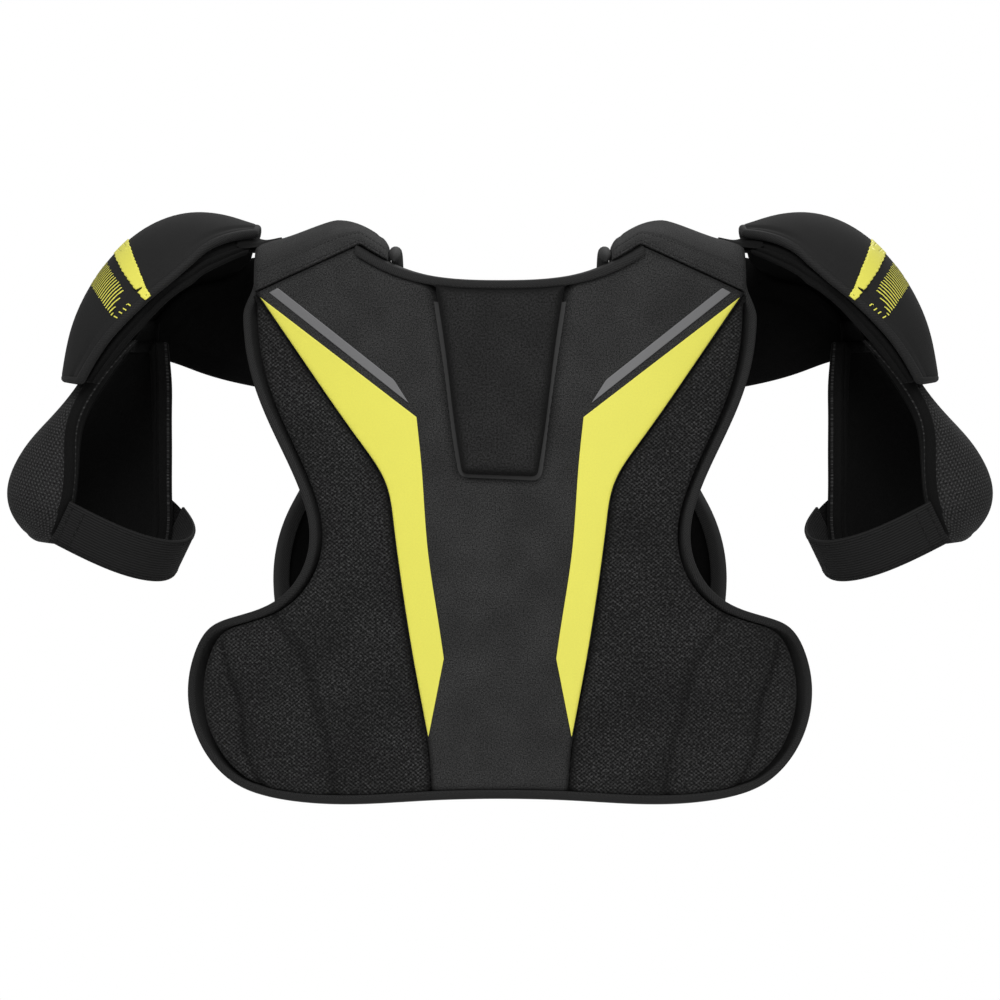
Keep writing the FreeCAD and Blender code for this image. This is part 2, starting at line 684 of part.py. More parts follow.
def build_torso_strap(chest_r):
    radius = chest_r - ply_gap - strap_roll_r
    a = math.asin(torso_sewn_x / radius)
    sewn = (radius * math.sin(a), front_axis_y + radius * math.cos(a))
    r_tab = back_radius - panel_t - ply_gap - foam_t - ply_gap - liner_t - ply_gap - patch_t - ply_gap
    tab_r = r_tab - torso_strap_t / 2
    end_x, tip_x = patch_to_x - 4 * patch_border, patch_from_x + patch_border
    end = (end_x, back_axis_y - math.sqrt(tab_r ** 2 - end_x ** 2))
    edge_x = lobe_half - binding_width / 2
    edge_y = front_face_y(edge_x, chest_r - binding_proud - torso_strap_t) - 1.0
    path = [sewn, (edge_x, edge_y)] + [(sewn[0] + dx, sewn[1] + dy) for dx, dy in torso_bends]
    path += [(end[0] + 6, end[1] + 12), (end[0] + 1.2, end[1] + 2.5)]
    strip = band(path, torso_strap_t).extrude(Vec(0, 0, torso_strap_w))
    strip.translate(Vec(0, 0, torso_strap_z - torso_strap_w / 2))
    roll = Part.makeCylinder(strap_roll_r, torso_strap_w,
                             Vec(sewn[0], sewn[1], torso_strap_z - torso_strap_w / 2))
    keep_pair("torso_strap", strip.fuse(roll))
    tab_half = torso_strap_w / 2 - patch_border
    block = trim_block(tip_x, end_x, torso_strap_z - tab_half, torso_strap_z + tab_half)
    keep_pair("torso_strap_tab", back_layer(block, r_tab - torso_strap_t, r_tab))
    return Vec(sewn[0], sewn[1], torso_strap_z)


# ---- front-shoulder pads and webbing hinges ----
def build_clavicle():
    top = yoke_front_z - ply_gap
    inner_top, yoke_side = (clavicle_inner_x, top), (yoke_outer_x + ply_gap, top)
    tip, foot = (clavicle_outer_x, clavicle_outer_z), (clavicle_inner_x, clavicle_foot_z)
    outline = [[inner_top, yoke_side], [yoke_side, clavicle_top[0]], clavicle_top + [tip],
               [tip, clavicle_corner], [clavicle_corner] + clavicle_hem + [foot], [foot, inner_top]]
    keep_pair("clavicle_pad", outline_prism(outline, clavicle_y, clavicle_y + clavicle_t))


def build_front_web(chest_r):
    """A rolled strip on the front hinge's axis, with a tongue down to the chest liner."""
    y = front_face_y(web_x + web_w / 2, chest_r - yoke_front_clear) - web_inward
    z = yoke_front_z - ply_gap - web_roll_r
    roll = Part.makeCylinder(web_roll_r, web_w, Vec(web_x, y, z), Vec(1, 0, 0))
    y_seat = front_face_y(web_x + web_w, chest_r) - ply_gap
    z_seat = z - web_drop
    profile = [Vec(web_x, y - web_t / 2, z), Vec(web_x, y + web_t / 2, z), Vec(web_x, y_seat, z_seat),
               Vec(web_x, y_seat - web_seat_t, z_seat)]
    edges = [Part.LineSegment(p, q).toShape() for p, q in zip(profile, profile[1:] + profile[:1])]
    tongue = Part.Face(Part.Wire(edges)).extrude(Vec(web_w, 0, 0))
    keep_pair("front_web", roll.fuse(tongue))
    return Vec(0, y, z)


build_back()
chest_inner_r = build_front()
cap_hinge, bicep_hinge = build_caps()
build_yokes(cap_hinge.z - cap_roll_r - ply_gap, chest_inner_r)
build_guards(bicep_hinge)
strap_point, strap_direction = build_bicep_strap()
torso_hinge = build_torso_strap(chest_inner_r)
build_clavicle()
front_hinge = build_front_web(chest_inner_r)

for label, place in (("front_hinge", front_hinge), ("cap_hinge", cap_hinge), ("bicep_hinge", bicep_hinge),
                     ("strap_hinge", strap_point), ("strap_axis", strap_direction),
                     ("torso_hinge", torso_hinge)):
    print(label, round(place.x, 3), round(place.y, 3), round(place.z, 3))
for name, shape in bodies.items():
    box = shape.BoundBox
    print("%-22s solids %d valid %s volume %.0f  x %.1f..%.1f y %.1f..%.1f z %.1f..%.1f" % (
        name, len(shape.Solids), shape.isValid(), shape.Volume, box.XMin, box.XMax, box.YMin, box.YMax,
        box.ZMin, box.ZMax))
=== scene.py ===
"""Ice-hockey shoulder pads: the finish and the soft forms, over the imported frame.

Lengths are millimetres until a mesh is made, then metres, in the frame's own axes.
The wearer faces +Y, so the back panel faces the camera, and +X is the wearer's right.
"""
import bmesh
import bpy
import math
import numpy as np
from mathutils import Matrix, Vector, geometry


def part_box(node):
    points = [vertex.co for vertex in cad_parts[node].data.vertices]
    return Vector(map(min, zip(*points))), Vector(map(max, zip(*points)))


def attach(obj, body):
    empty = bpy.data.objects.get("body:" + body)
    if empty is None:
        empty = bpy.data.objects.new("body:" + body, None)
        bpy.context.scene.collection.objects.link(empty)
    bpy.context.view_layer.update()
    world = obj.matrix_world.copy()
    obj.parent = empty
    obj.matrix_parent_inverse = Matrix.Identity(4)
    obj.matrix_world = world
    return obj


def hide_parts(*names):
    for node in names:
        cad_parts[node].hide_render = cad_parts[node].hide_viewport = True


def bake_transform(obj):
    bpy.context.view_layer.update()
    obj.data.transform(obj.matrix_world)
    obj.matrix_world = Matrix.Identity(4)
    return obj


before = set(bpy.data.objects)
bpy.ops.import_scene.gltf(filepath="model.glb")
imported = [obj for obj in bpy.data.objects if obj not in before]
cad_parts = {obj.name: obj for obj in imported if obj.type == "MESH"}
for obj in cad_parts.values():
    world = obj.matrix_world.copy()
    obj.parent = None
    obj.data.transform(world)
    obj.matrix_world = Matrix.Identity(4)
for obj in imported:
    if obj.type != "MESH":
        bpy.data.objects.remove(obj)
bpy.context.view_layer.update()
MM = 0.001

# ---- panels: the vertical axes and radii that the solids have ----
BACK_AXIS_Y, BACK_R = 210.0, 331.0
FRONT_AXIS_Y, FRONT_R = -302.0, 418.0
BINDING_W = 7.0
NECK_HALF, NECK_FLOOR, NECK_CORNER, NECK_POWER = 105.0, -23.0, 4.0, 2.8
SHOULDER_HALF, SHOULDER_Z = 190.0, -33.0
WAIST_HALF, WAIST_Z = 140.0, -217.0
WING_ROOT, WING_WIDE, WING_FOOT = (195.0, -275.0), (232.0, -334.0), (157.0, -414.0)
BOTTOM_Z = -411.0
STRIPE_TIP, STRIPE_ELBOW = (181.0, -34.5), (62.5, -125.5)
STRIPE_NARROW, STRIPE_FOOT = (42.0, -306.0), (54.6, -365.0)
BAR = [(174.2, -31.0), (167.5, -27.6), (79.4, -97.6), (68.3, -115.0)]
CHANNEL = [(187.0, -28.0), (150.0, -81.0), (105.0, -145.0), (86.0, -176.0), (80.5, -205.0),
           (75.0, -247.0), (65.5, -307.0), (54.6, -365.0), (50.0, -441.0)]
SPINE_EDGE = [(49.0, -23.0), (41.0, -75.0), (33.9, -132.0), (28.0, -170.0)]

# ---- shoulders ----
YOKE_IN, YOKE_OUT, YOKE_PEAK = 84.0, 186.5, (124.0, 26.0)
YOKE_INNER_Z, YOKE_OUTER_Z, YOKE_PEAK_Y, YOKE_T, YOKE_FRONT_Z = 8.0, 9.144, -8.0, 13.0, -33.0
CHEST_INNER_R = 402.0
CAP_LINE = [(184.0, 22.0), (229.0, 32.0), (268.0, 22.0), (303.0, -10.0), (326.0, -52.0), (335.0, -95.0)]
CAP_ARCH = 78.0
CAP_HINGE_X = 186.675
FLAP_HALF = 41.0
UNDER_DRAPE = math.radians(12.0)
# share of the way along the silhouette, half length fore and aft, under-layer's edge in degrees
CAP_ROWS = [(0.0, 28.0, 36.0), (0.07, 44.5, 53.0), (0.17, 60.5, 66.0), (0.3, 69.0, 72.0), (0.44, 71.0, 73.0),
            (0.58, 69.8, 71.5), (0.72, 66.4, 68.0), (0.86, 59.5, 60.0), (1.0, 46.0, 44.0)]

# ---- front-shoulder pads: the outline beside the cap, and the hem ----
CLAVICLE_TOP = [(188.0, 1.0), (197.0, -3.0), (206.0, -12.0), (216.0, -17.5), (230.0, -20.0), (246.0, -28.0),
                (262.0, -43.5), (275.0, -62.0)]
CLAVICLE_HEM = [(277.0, -76.0), (254.0, -81.0), (232.0, -89.0), (208.0, -96.0), (152.0, -106.0)]

# ---- print on the caps' rear faces: a bar, and a hatch whose lines run between two sides ----
CAP_BAR = [(283.4, 11.0), (280.3, 3.4), (274.4, -9.8), (267.8, -25.4), (266.8, -27.6), (263.1, -33.5),
           (267.3, -37.2), (273.3, -31.4), (269.6, -27.8), (270.1, -27.0), (275.0, -29.2), (285.4, -14.7), (294.2, 0.6)]
HATCH_LINES, HATCH_LENGTH = 24, 30.0
HATCH_OUTER, HATCH_INNER = ((312.3, -22.3), (293.4, -48.0)), ((300.5, -5.0), (279.4, -36.0))
HATCH_DASHES = [((281.6, -39.9), (278.4, -41.0)), ((284.3, -43.0), (281.5, -44.2)),
                ((287.7, -45.9), (285.0, -47.0)), ((291.3, -48.9), (288.4, -50.0))]

# ---- bicep guards ----
# height, outer x, rear edge x, front edge in degrees, half depth, drop to the front edge
GUARD_ROWS = [(-66.0, 297.0, 278.0, 140.0, 40.0, 0.0), (-82.0, 311.0, 293.0, 146.0, 44.0, 0.0),
              (-97.5, 321.4, 306.0, 150.0, 46.5, 0.0), (-118.0, 337.5, 318.5, 150.0, 48.5, 0.0),
              (-148.0, 363.0, 323.0, 150.0, 52.0, 2.0), (-180.0, 376.5, 324.0, 150.0, 54.0, 6.0),
              (-200.0, 372.0, 331.0, 150.0, 53.0, 9.0), (-219.0, 356.0, 343.0, 142.0, 47.0, 12.0)]
GUARD_Y, GUARD_FRONT_X = 2.0, 252.0
STRAP_HINGE = np.array((334.0, -49.15, -203.5))
STRAP_SLOPE = (0.5, 0.437)
STRAP_PATH = [(-1.0, 0.0), (-34.0, -3.0), (-66.0, 2.0), (-90.0, 20.0), (-98.0, 45.0), (-93.0, 68.0), (-84.0, 83.0)]
STRAP_TAB_PATH = [(-83.7, 83.5), (-78.5, 89.3), (-71.0, 95.5)]


# ---------------------------------------------------------------- curves and distances
def mix(a, b, share):
    return a + (b - a) * share


def smooth(points, step=2.5):
    """A natural cubic spline through points, sampled about every step."""
    p = np.asarray(points, float)
    gaps = np.linalg.norm(np.diff(p, axis=0), axis=1)
    at = arc(p)
    u = np.linspace(0, at[-1], max(2, int(math.ceil(at[-1] / step)) + 1))
    if len(p) == 2:
        return p[0] + (p[1] - p[0]) * (u / at[-1])[:, None]
    n = len(p)
    system, right = np.eye(n), np.zeros_like(p)
    for i in range(1, n - 1):
        system[i, i - 1:i + 2] = gaps[i - 1], 2 * (gaps[i - 1] + gaps[i]), gaps[i]
        right[i] = 6 * ((p[i + 1] - p[i]) / gaps[i] - (p[i] - p[i - 1]) / gaps[i - 1])
    bend = np.linalg.solve(system, right)
    i = np.clip(np.searchsorted(at, u, side="right") - 1, 0, n - 2)
    h = gaps[i]
    a, b = ((at[i + 1] - u) / h)[:, None], ((u - at[i]) / h)[:, None]
    cubic = ((a ** 3 - a) * bend[i] + (b ** 3 - b) * bend[i + 1]) * (h ** 2)[:, None] / 6
    return a * p[i] + b * p[i + 1] + cubic


def join(*runs):
    """One polyline from several that follow on."""
    parts = [np.asarray(runs[0], float)]
    for run in runs[1:]:
        parts.append(np.asarray(run, float)[1:])
    return np.concatenate(parts)


def mirrored(points):
    return np.asarray(points, float)[::-1] * (-1, 1)


def even(loop, step, closed=True):
    """The same polyline, sampled evenly."""
    p = np.asarray(loop, float)
    if closed:
        p = np.vstack([p, p[:1]])
    at = arc(p)
    count = max(3, int(round(at[-1] / step)))
    u = np.linspace(0, at[-1], count + 1)
    return pick(u[:-1] if closed else u, at, p)


def distance(points, curve, closed=False):
    """Distance from 2-D points to a polyline."""
    a = np.asarray(curve, float)
    b = np.roll(a, -1, axis=0) if closed else a[1:]
    a = a if closed else a[:-1]
    run = b - a
    long2 = np.maximum((run ** 2).sum(1), 1e-9)
    out = np.empty(len(points))
    for i in range(0, len(points), 3000):
        d = points[i:i + 3000, None, :] - a
        t = np.clip((d * run).sum(2) / long2, 0, 1)
        d -= t[..., None] * run
        out[i:i + 3000] = np.sqrt((d ** 2).sum(2).min(1))
    return out


def inside(points, loop):
    p, q = np.asarray(loop, float), np.roll(loop, -1, axis=0)
    rise = np.where(q[:, 1] == p[:, 1], 1e-9, q[:, 1] - p[:, 1])
    out = np.empty(len(points), bool)
    for i in range(0, len(points), 3000):
        x, z = points[i:i + 3000, 0][:, None], points[i:i + 3000, 1][:, None]
        hit = ((p[:, 1] > z) != (q[:, 1] > z)) & (x < (q[:, 0] - p[:, 0]) * (z - p[:, 1]) / rise + p[:, 0])
        out[i:i + 3000] = hit.sum(1) % 2 == 1
    return out


def normals_2d(loop, blur=0):
    """Unit normals of a clockwise loop that point into it, evened out over blur neighbours."""
    run = np.roll(loop, -1, axis=0) - np.roll(loop, 1, axis=0)
    n = np.stack([run[:, 1], -run[:, 0]], axis=1)
    n /= np.linalg.norm(n, axis=1)[:, None]
    for _ in range(blur):
        n = np.roll(n, 1, axis=0) + n + np.roll(n, -1, axis=0)
        n /= np.linalg.norm(n, axis=1)[:, None]
    return n


def inset(loop, depth, step=2.5):
    """The loop moved inward by one depth or a depth for each point, without the parts that would cross."""
    moved = loop + normals_2d(loop) * np.reshape(depth, (-1, 1))
    keep = inside(moved, loop) & (distance(moved, loop, True) > depth * 0.97)
    return even(moved[keep], step)


def relax(loop, times):
    """A closed loop with its corners eased a few times."""
    for _ in range(times):
        loop = (np.roll(loop, 1, axis=0) + 2 * loop + np.roll(loop, -1, axis=0)) / 4
    return loop


def thirds(rows):
    """Each inner row of an open line as the mean of itself and its two neighbours."""
    return (rows[:-2] + rows[1:-1] + rows[2:]) / 3


def roll(d, width, drop):
    """How far a padded face falls towards a seam at distance d: a quarter ellipse."""
    t = np.clip(d / width, 0, 1)
    return -drop * (1 - np.sqrt(1 - (1 - t) ** 2))


def dent(d, width, depth):
    """A soft channel along a stitched line."""
    return -depth * np.exp(-(d / width) ** 2)


def waves(x, z, size, seed):
    """Slow unevenness of about one unit."""
    total = 0
    for k in range(5):
        a = seed * 1.7 + k * 2.4
        f = (0.7 + 0.23 * k) * 2 * math.pi / size
        total = total + np.sin(f * (x * math.cos(a) + z * math.sin(a)) + seed + 3.1 * k)
    return total / 5


# ---------------------------------------------------------------- meshes
def make(name, verts, faces, cloth=None, painted_shade=None):
    """A mesh object from millimetres.

    cloth is each point's place on the fabric, and painted_shade how much painted shade darkens it in a seam or channel,
    from 0 to 1.
    """
    verts = np.asarray(verts, float)
    mesh = bpy.data.meshes.new(name)
    mesh.from_pydata((verts * MM).tolist(), [], faces if isinstance(faces, list) else faces.tolist())
    mesh.update()
    place = verts if cloth is None else np.hstack([cloth, np.zeros((len(cloth), 1))])
    layer = mesh.attributes.new("cloth", "FLOAT_VECTOR", "POINT")
    layer.data.foreach_set("vector", (place * MM).astype(np.float32).ravel())
    # painted shade: per-point darkening in seams and channels, where shade would fall
    if painted_shade is not None:
        mesh.attributes.new("painted_shade", "FLOAT", "POINT").data.foreach_set("value", painted_shade.astype(np.float32))
    mesh.shade_smooth()
    obj = bpy.data.objects.new(name, mesh)
    bpy.context.scene.collection.objects.link(obj)
    return obj


def grid_faces(nu, nv, closed_u=False, closed_v=False):
    iu = np.arange(nu if closed_u else nu - 1)[:, None]
    iv = np.arange(nv if closed_v else nv - 1)[None, :]
    ju, jv = (iu + 1) % nu, (iv + 1) % nv
    quads = np.stack([iu * nv + iv, ju * nv + iv, ju * nv + jv, iu * nv + jv], axis=-1)
    return quads.reshape(-1, 4)


def tube_faces(nu, nv):
    """Faces of nu rings of nv points, with both ends capped."""
    return grid_faces(nu, nv, False, True).tolist() + [list(range(nv)), list(range(nu * nv - 1, (nu - 1) * nv - 1, -1))]


def lengths(rows):
    """Arc length along the second axis of an array of rows of points."""
    step = np.linalg.norm(np.diff(rows, axis=1), axis=2)
    return np.concatenate([np.zeros((len(rows), 1)), np.cumsum(step, axis=1)], axis=1)


def surface_normals(rows):
    du, dv = np.gradient(rows, axis=0), np.gradient(rows, axis=1)
    n = np.cross(du, dv)
    return n / np.maximum(np.linalg.norm(n, axis=2), 1e-9)[..., None]


def triangulate(loop, lines=(), step=3.2, rings=(0.6, 1.5, 2.8, 4.5, 7.0)):
    """Fills a loop with triangles: close rows of points beside its edge and the lines, then an even grid."""
    curves = [(loop, True)] + [(line, False) for line in lines]
    clouds = []
    for curve, closed in curves:
        run = (np.roll(curve, -1, axis=0) - np.roll(curve, 1, axis=0)) if closed else np.gradient(curve, axis=0)
        n = np.stack([run[:, 1], -run[:, 0]], axis=1) / np.linalg.norm(run, axis=1)[:, None]
        for d in rings:
            for side in ((1,) if closed else (1, -1)):
                clouds.append((curve + n * d * side, d * 0.9))
    lo, hi = loop.min(0), loop.max(0)
    gx, gz = np.meshgrid(np.arange(lo[0], hi[0], step), np.arange(lo[1], hi[1], step * 0.866))
    gx[1::2] += step / 2
    clouds.append((np.stack([gx.ravel(), gz.ravel()], axis=1), rings[-1] + step * 0.6))
    points = [loop]
    edges = [(i, (i + 1) % len(loop)) for i in range(len(loop))]
    count = len(loop)
    for line in lines:
        edges += [(count + i, count + i + 1) for i in range(len(line) - 1)]
        points.append(line)
        count += len(line)
    for cloud, clear in clouds:
        cloud = cloud[inside(cloud, loop)]
        near = np.min([distance(cloud, curve, closed) for curve, closed in curves], axis=0)
        points.append(cloud[near >= clear])
    flat = [Vector(p) for p in np.concatenate(points).tolist()]
    verts, _, faces, _, _, _ = geometry.delaunay_2d_cdt(flat, edges, [], 1, 1e-4)
    return np.array([v[:] for v in verts]), np.array([f[:] for f in faces])


def closed_layer(name, flat, faces, outer, inner, painted_shade=None):
    """A closed mesh between two surfaces over the same flat triangles."""
    used = np.unique(faces)
    index = np.full(len(flat), -1)
    index[used] = np.arange(len(used))
    faces, n = index[faces], len(used)
    pairs = np.concatenate([faces[:, [0, 1]], faces[:, [1, 2]], faces[:, [2, 0]]])
    keys = {(a, b) for a, b in pairs.tolist()}
    rim = np.array([(a, b) for a, b in keys if (b, a) not in keys])
    walls = np.stack([rim[:, 1], rim[:, 0], rim[:, 0] + n, rim[:, 1] + n], axis=1)
    place = flat[used]
    # the painted shade lies on the outer face only
    if painted_shade is not None:
        painted_shade = np.concatenate([painted_shade[used], 0 * painted_shade[used]])
    verts = np.vstack([outer[used], inner[used]])
    tri = np.vstack([faces, faces[:, ::-1] + n])
    a, b, c = (verts[faces[:, k]] for k in range(3))
    away = ((np.cross(b - a, c - a)) * (outer[used][faces[:, 0]] - inner[used][faces[:, 0]])).sum()
    if away < 0:
        tri, walls = tri[:, ::-1], walls[:, ::-1]
    return make(name, verts, tri.tolist() + walls.tolist(), np.vstack([place, place]), painted_shade)


def pillow(name, outer, inner, roll_u=(6.0, 6.0), roll_v=(6.0, 6.0), relief=None, floor=0.0):
    """A closed padded shell between two grids of points, pinched together towards its edges."""
    nu, nv = outer.shape[:2]
    middle = (outer + inner) / 2
    lu = lengths(middle.transpose(1, 0, 2)).T
    lv = lengths(middle)

    def pinch(d, total, ends):
        f = np.ones_like(d)
        for dist, width in ((d, ends[0]), (total - d, ends[1])):
            if width > 0:
                t = np.clip(dist / width, 0, 1)
                f = f * np.sqrt(np.maximum(0, 1 - (1 - t) ** 2))
        return f
    f = pinch(lu, lu[-1:], roll_u) * pinch(lv, lv[:, -1:], roll_v)
    f = floor + (1 - floor) * f
    face = middle + (outer - middle) * f[..., None]
    if relief is not None:
        away = outer - middle
        away = away / np.maximum(np.linalg.norm(away, axis=2), 1e-9)[..., None]
        face = face + away * (relief(lu, lv, lu[-1:], lv[:, -1:]) * f)[..., None]
    rear = middle + (inner - middle) * f[..., None]
    verts = np.vstack([face.reshape(-1, 3), rear.reshape(-1, 3)])
    top = grid_faces(nu, nv)
    n = nu * nv
    rim = [i * nv for i in range(nu)] + [(nu - 1) * nv + j for j in range(1, nv)]
    rim += [i * nv + nv - 1 for i in range(nu - 2, -1, -1)] + [j for j in range(nv - 2, 0, -1)]
    rim = np.array(rim)
    after = np.roll(rim, -1)
    walls = np.stack([rim, rim + n, after + n, after], axis=1)
    normal = np.cross(verts[top[:, 1]] - verts[top[:, 0]], verts[top[:, 3]] - verts[top[:, 0]])
    if (normal * (outer - inner).reshape(-1, 3)[top[:, 0]]).sum() < 0:
        top = top[:, ::-1]
        walls = walls[:, ::-1]
    cloth = np.stack([lu.ravel(), lv.ravel()], axis=1)
    faces = np.vstack([top, top[:, ::-1] + n, walls])
    return make(name, verts, faces, np.vstack([cloth, cloth])), face, (lu, lv)


def ribbon(name, centre, across, out, profile, closed=True):
    """A band swept along a line: profile points are (across, out), and the section is closed."""
    profile = np.asarray(profile, float)
    side, up = profile[None, :, 0, None], profile[None, :, 1, None]
    rows = centre[:, None, :] + across[:, None, :] * side + out[:, None, :] * up
    nu, nv = rows.shape[:2]
    faces = grid_faces(nu, nv, True, True).tolist() if closed else tube_faces(nu, nv)
    cloth = np.stack(np.meshgrid(arc(centre), arc(profile), indexing="ij"), axis=-1).reshape(-1, 2)
    return facing_out(make(name, rows.reshape(-1, 3), faces, cloth))


def facing_out(obj):
    work = bmesh.new()
    work.from_mesh(obj.data)
    bmesh.ops.recalc_face_normals(work, faces=work.faces)
    work.to_mesh(obj.data)
    work.free()
    return obj


def arc(points):
    """Length along a polyline at each of its points."""
    return np.concatenate([[0.0], np.cumsum(np.linalg.norm(np.diff(points, axis=0), axis=1))])


def frames(points, closed=False):
    """Unit tangents of a 3-D polyline."""
    if closed:
        t = np.roll(points, -1, axis=0) - np.roll(points, 1, axis=0)
    else:
        t = np.gradient(points, axis=0)
    return t / np.maximum(np.linalg.norm(t, axis=1), 1e-9)[:, None]


def unit(v):
    return v / np.maximum(np.linalg.norm(v, axis=-1), 1e-9)[..., None]


def pick(u, at, rows):
    """The rows' values at u, between the places at."""
    return np.stack([np.interp(u, at, rows[:, k]) for k in range(rows.shape[1])], axis=1)


def stitches(name, points, normal, pitch=3.2, length=2.2, width=0.75, height=0.35):
    """Short raised thread stitches along a line that lies on a surface."""
    at = arc(points)
    u = np.arange(pitch / 2, at[-1], pitch)
    centre, tangent, up = (pick(u, at, rows) for rows in (points, frames(points), normal))
    up = unit(up)
    side = unit(np.cross(tangent, up))
    shape = [(-0.5, 0, -0.3), (-0.36, -0.5, 0), (-0.36, 0.5, 0), (-0.3, 0, 1), (0.36, -0.5, 0), (0.36, 0.5, 0),
             (0.3, 0, 1), (0.5, 0, -0.3)]
    faces = [(0, 1, 3), (0, 3, 2), (1, 4, 6, 3), (3, 6, 5, 2), (4, 7, 6), (6, 7, 5), (0, 2, 5, 7), (0, 7, 4, 1)]
    verts = [centre + tangent * a * length + side * b * width + up * c * height for a, b, c in shape]
    return make(name, np.stack(verts, axis=1).reshape(-1, 3),
                [[len(shape) * i + j for j in face] for i in range(len(u)) for face in faces])


def mirror_pair(obj, rides, slot, replaces, material=None):
    """Finishes a right-hand piece and makes its left-hand twin. Names end in _right and _left."""
    twin = obj.copy()
    twin.data = obj.data.copy()
    twin.name = obj.name.replace("_right", "_left")
    bpy.context.scene.collection.objects.link(twin)
    count = len(twin.data.vertices)
    co = np.empty(count * 3, np.float32)
    twin.data.vertices.foreach_get("co", co)
    co[::3] *= -1
    twin.data.vertices.foreach_set("co", co)
    twin.data.flip_normals()
    twin.data.update()
    for piece, side in ((obj, "right"), (twin, "left")):
        dress(piece, rides.replace("SIDE", side), slot, [r + "_" + side for r in replaces], material)
    return obj, twin


MATERIALS = {}


def dress(piece, body, slot, replaces=(), material=None):
    """Rides, material (the slot's, unless another is named) and the CAD nodes a piece stands for, which it hides."""
    piece.data.materials.clear()
    piece.data.materials.append(MATERIALS[material or slot])
    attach(piece, body)
    if replaces:
        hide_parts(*replaces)


# ---------------------------------------------------------------- materials
class Shader:
    """A Principled material with small helpers for its nodes.

    place is where a point lies on the cloth, or on the solid where there is none.
    """

    def __init__(self, name, rough, specular, sheen=0.0, solid=False):
        MATERIALS[name] = bpy.data.materials.new(name)
        MATERIALS[name].use_nodes = True
        self.tree = MATERIALS[name].node_tree
        self.bsdf = self.tree.nodes["Principled BSDF"]
        self.bsdf.inputs["Roughness"].default_value = rough
        self.bsdf.inputs["Specular IOR Level"].default_value = specular
        self.bsdf.inputs["Sheen Weight"].default_value = sheen
        self.bsdf.inputs["Sheen Roughness"].default_value = 0.45
        self.place = self.node("TexCoord").outputs["Object"] if solid else self.attribute("cloth").outputs["Vector"]

    def node(self, kind, **inputs):
        n = self.tree.nodes.new("ShaderNode" + kind)
        for key, value in inputs.items():
            if hasattr(n, key):
                setattr(n, key, value)
            else:
                self.put(n.inputs[key.replace("_", " ")], value)
        return n

    def put(self, socket, value):
        if isinstance(value, bpy.types.NodeSocket):
            self.tree.links.new(value, socket)
        else:
            socket.default_value = value

    def attribute(self, name):
        n = self.node("Attribute")
        n.attribute_name = name
        return n

    def with_painted_shade(self, amount):
        """The amount, darkened by the mesh's painted shade where the cloth lies in a seam or channel."""
        seam_shade = self.attribute("painted_shade").outputs["Fac"]
        return self.math("MULTIPLY", amount, self.math("SUBTRACT", 1.0, seam_shade))

    def noise(self, size_mm, detail=2.0, rough=0.5):
        return self.node("TexNoise", Vector=self.place, Scale=1000.0 / size_mm, Detail=detail,
                         Roughness=rough).outputs["Fac"]

    def cells(self, size_mm):
        return self.node("TexVoronoi", Vector=self.place, Scale=1000.0 / size_mm).outputs["Distance"]

    def weave(self, across, along):
        """Over-under rows of two pitches."""
        return self.math("MULTIPLY", self.wave((1, 0), across), self.wave((0, 1), along))

    def slow(self, size_mm, lo, hi, detail=2.0):
        """Slow unevenness of tone, between two factors."""
        return self.span(self.noise(size_mm, detail), 0.3, 0.7, lo, hi)

    def math(self, operation, a, b=0.0, c=0.0):
        n = self.tree.nodes.new("ShaderNodeMath")
        n.operation = operation
        for socket, value in zip(n.inputs, (a, b, c)):
            self.put(socket, value)
        return n.outputs["Value"]

    def span(self, value, lo, hi, out_lo=0.0, out_hi=1.0):
        return self.node("MapRange", Value=value, From_Min=lo, From_Max=hi, To_Min=out_lo,
                         To_Max=out_hi).outputs["Result"]

    def wave(self, direction, pitch_mm):
        """A cosine across the fabric along a direction, from -1 to 1."""
        dot = self.node("VectorMath", operation="DOT_PRODUCT")
        self.put(dot.inputs[0], self.place)
        k = 2 * math.pi * 1000.0 / pitch_mm
        dot.inputs[1].default_value = (direction[0] * k, direction[1] * k, 0)
        return self.math("COSINE", dot.outputs["Value"])

    def colour(self, amount, dark, light):
        n = self.tree.nodes.new("ShaderNodeMix")
        n.data_type = "RGBA"
        self.put(n.inputs[0], amount)
        self.put(n.inputs[6], (*dark, 1.0))
        self.put(n.inputs[7], (*light, 1.0))
        self.put(self.bsdf.inputs["Base Color"], n.outputs[2])

    def bump(self, height, depth_mm, strength=1.0):
        n = self.node("Bump", Height=height, Distance=depth_mm * MM, Strength=strength)
        self.put(self.bsdf.inputs["Normal"], n.outputs["Normal"])

    def roughness(self, amount, lo, hi):
        self.put(self.bsdf.inputs["Roughness"], self.span(amount, 0.0, 1.0, lo, hi))


def grey(value):
    return value, value, value


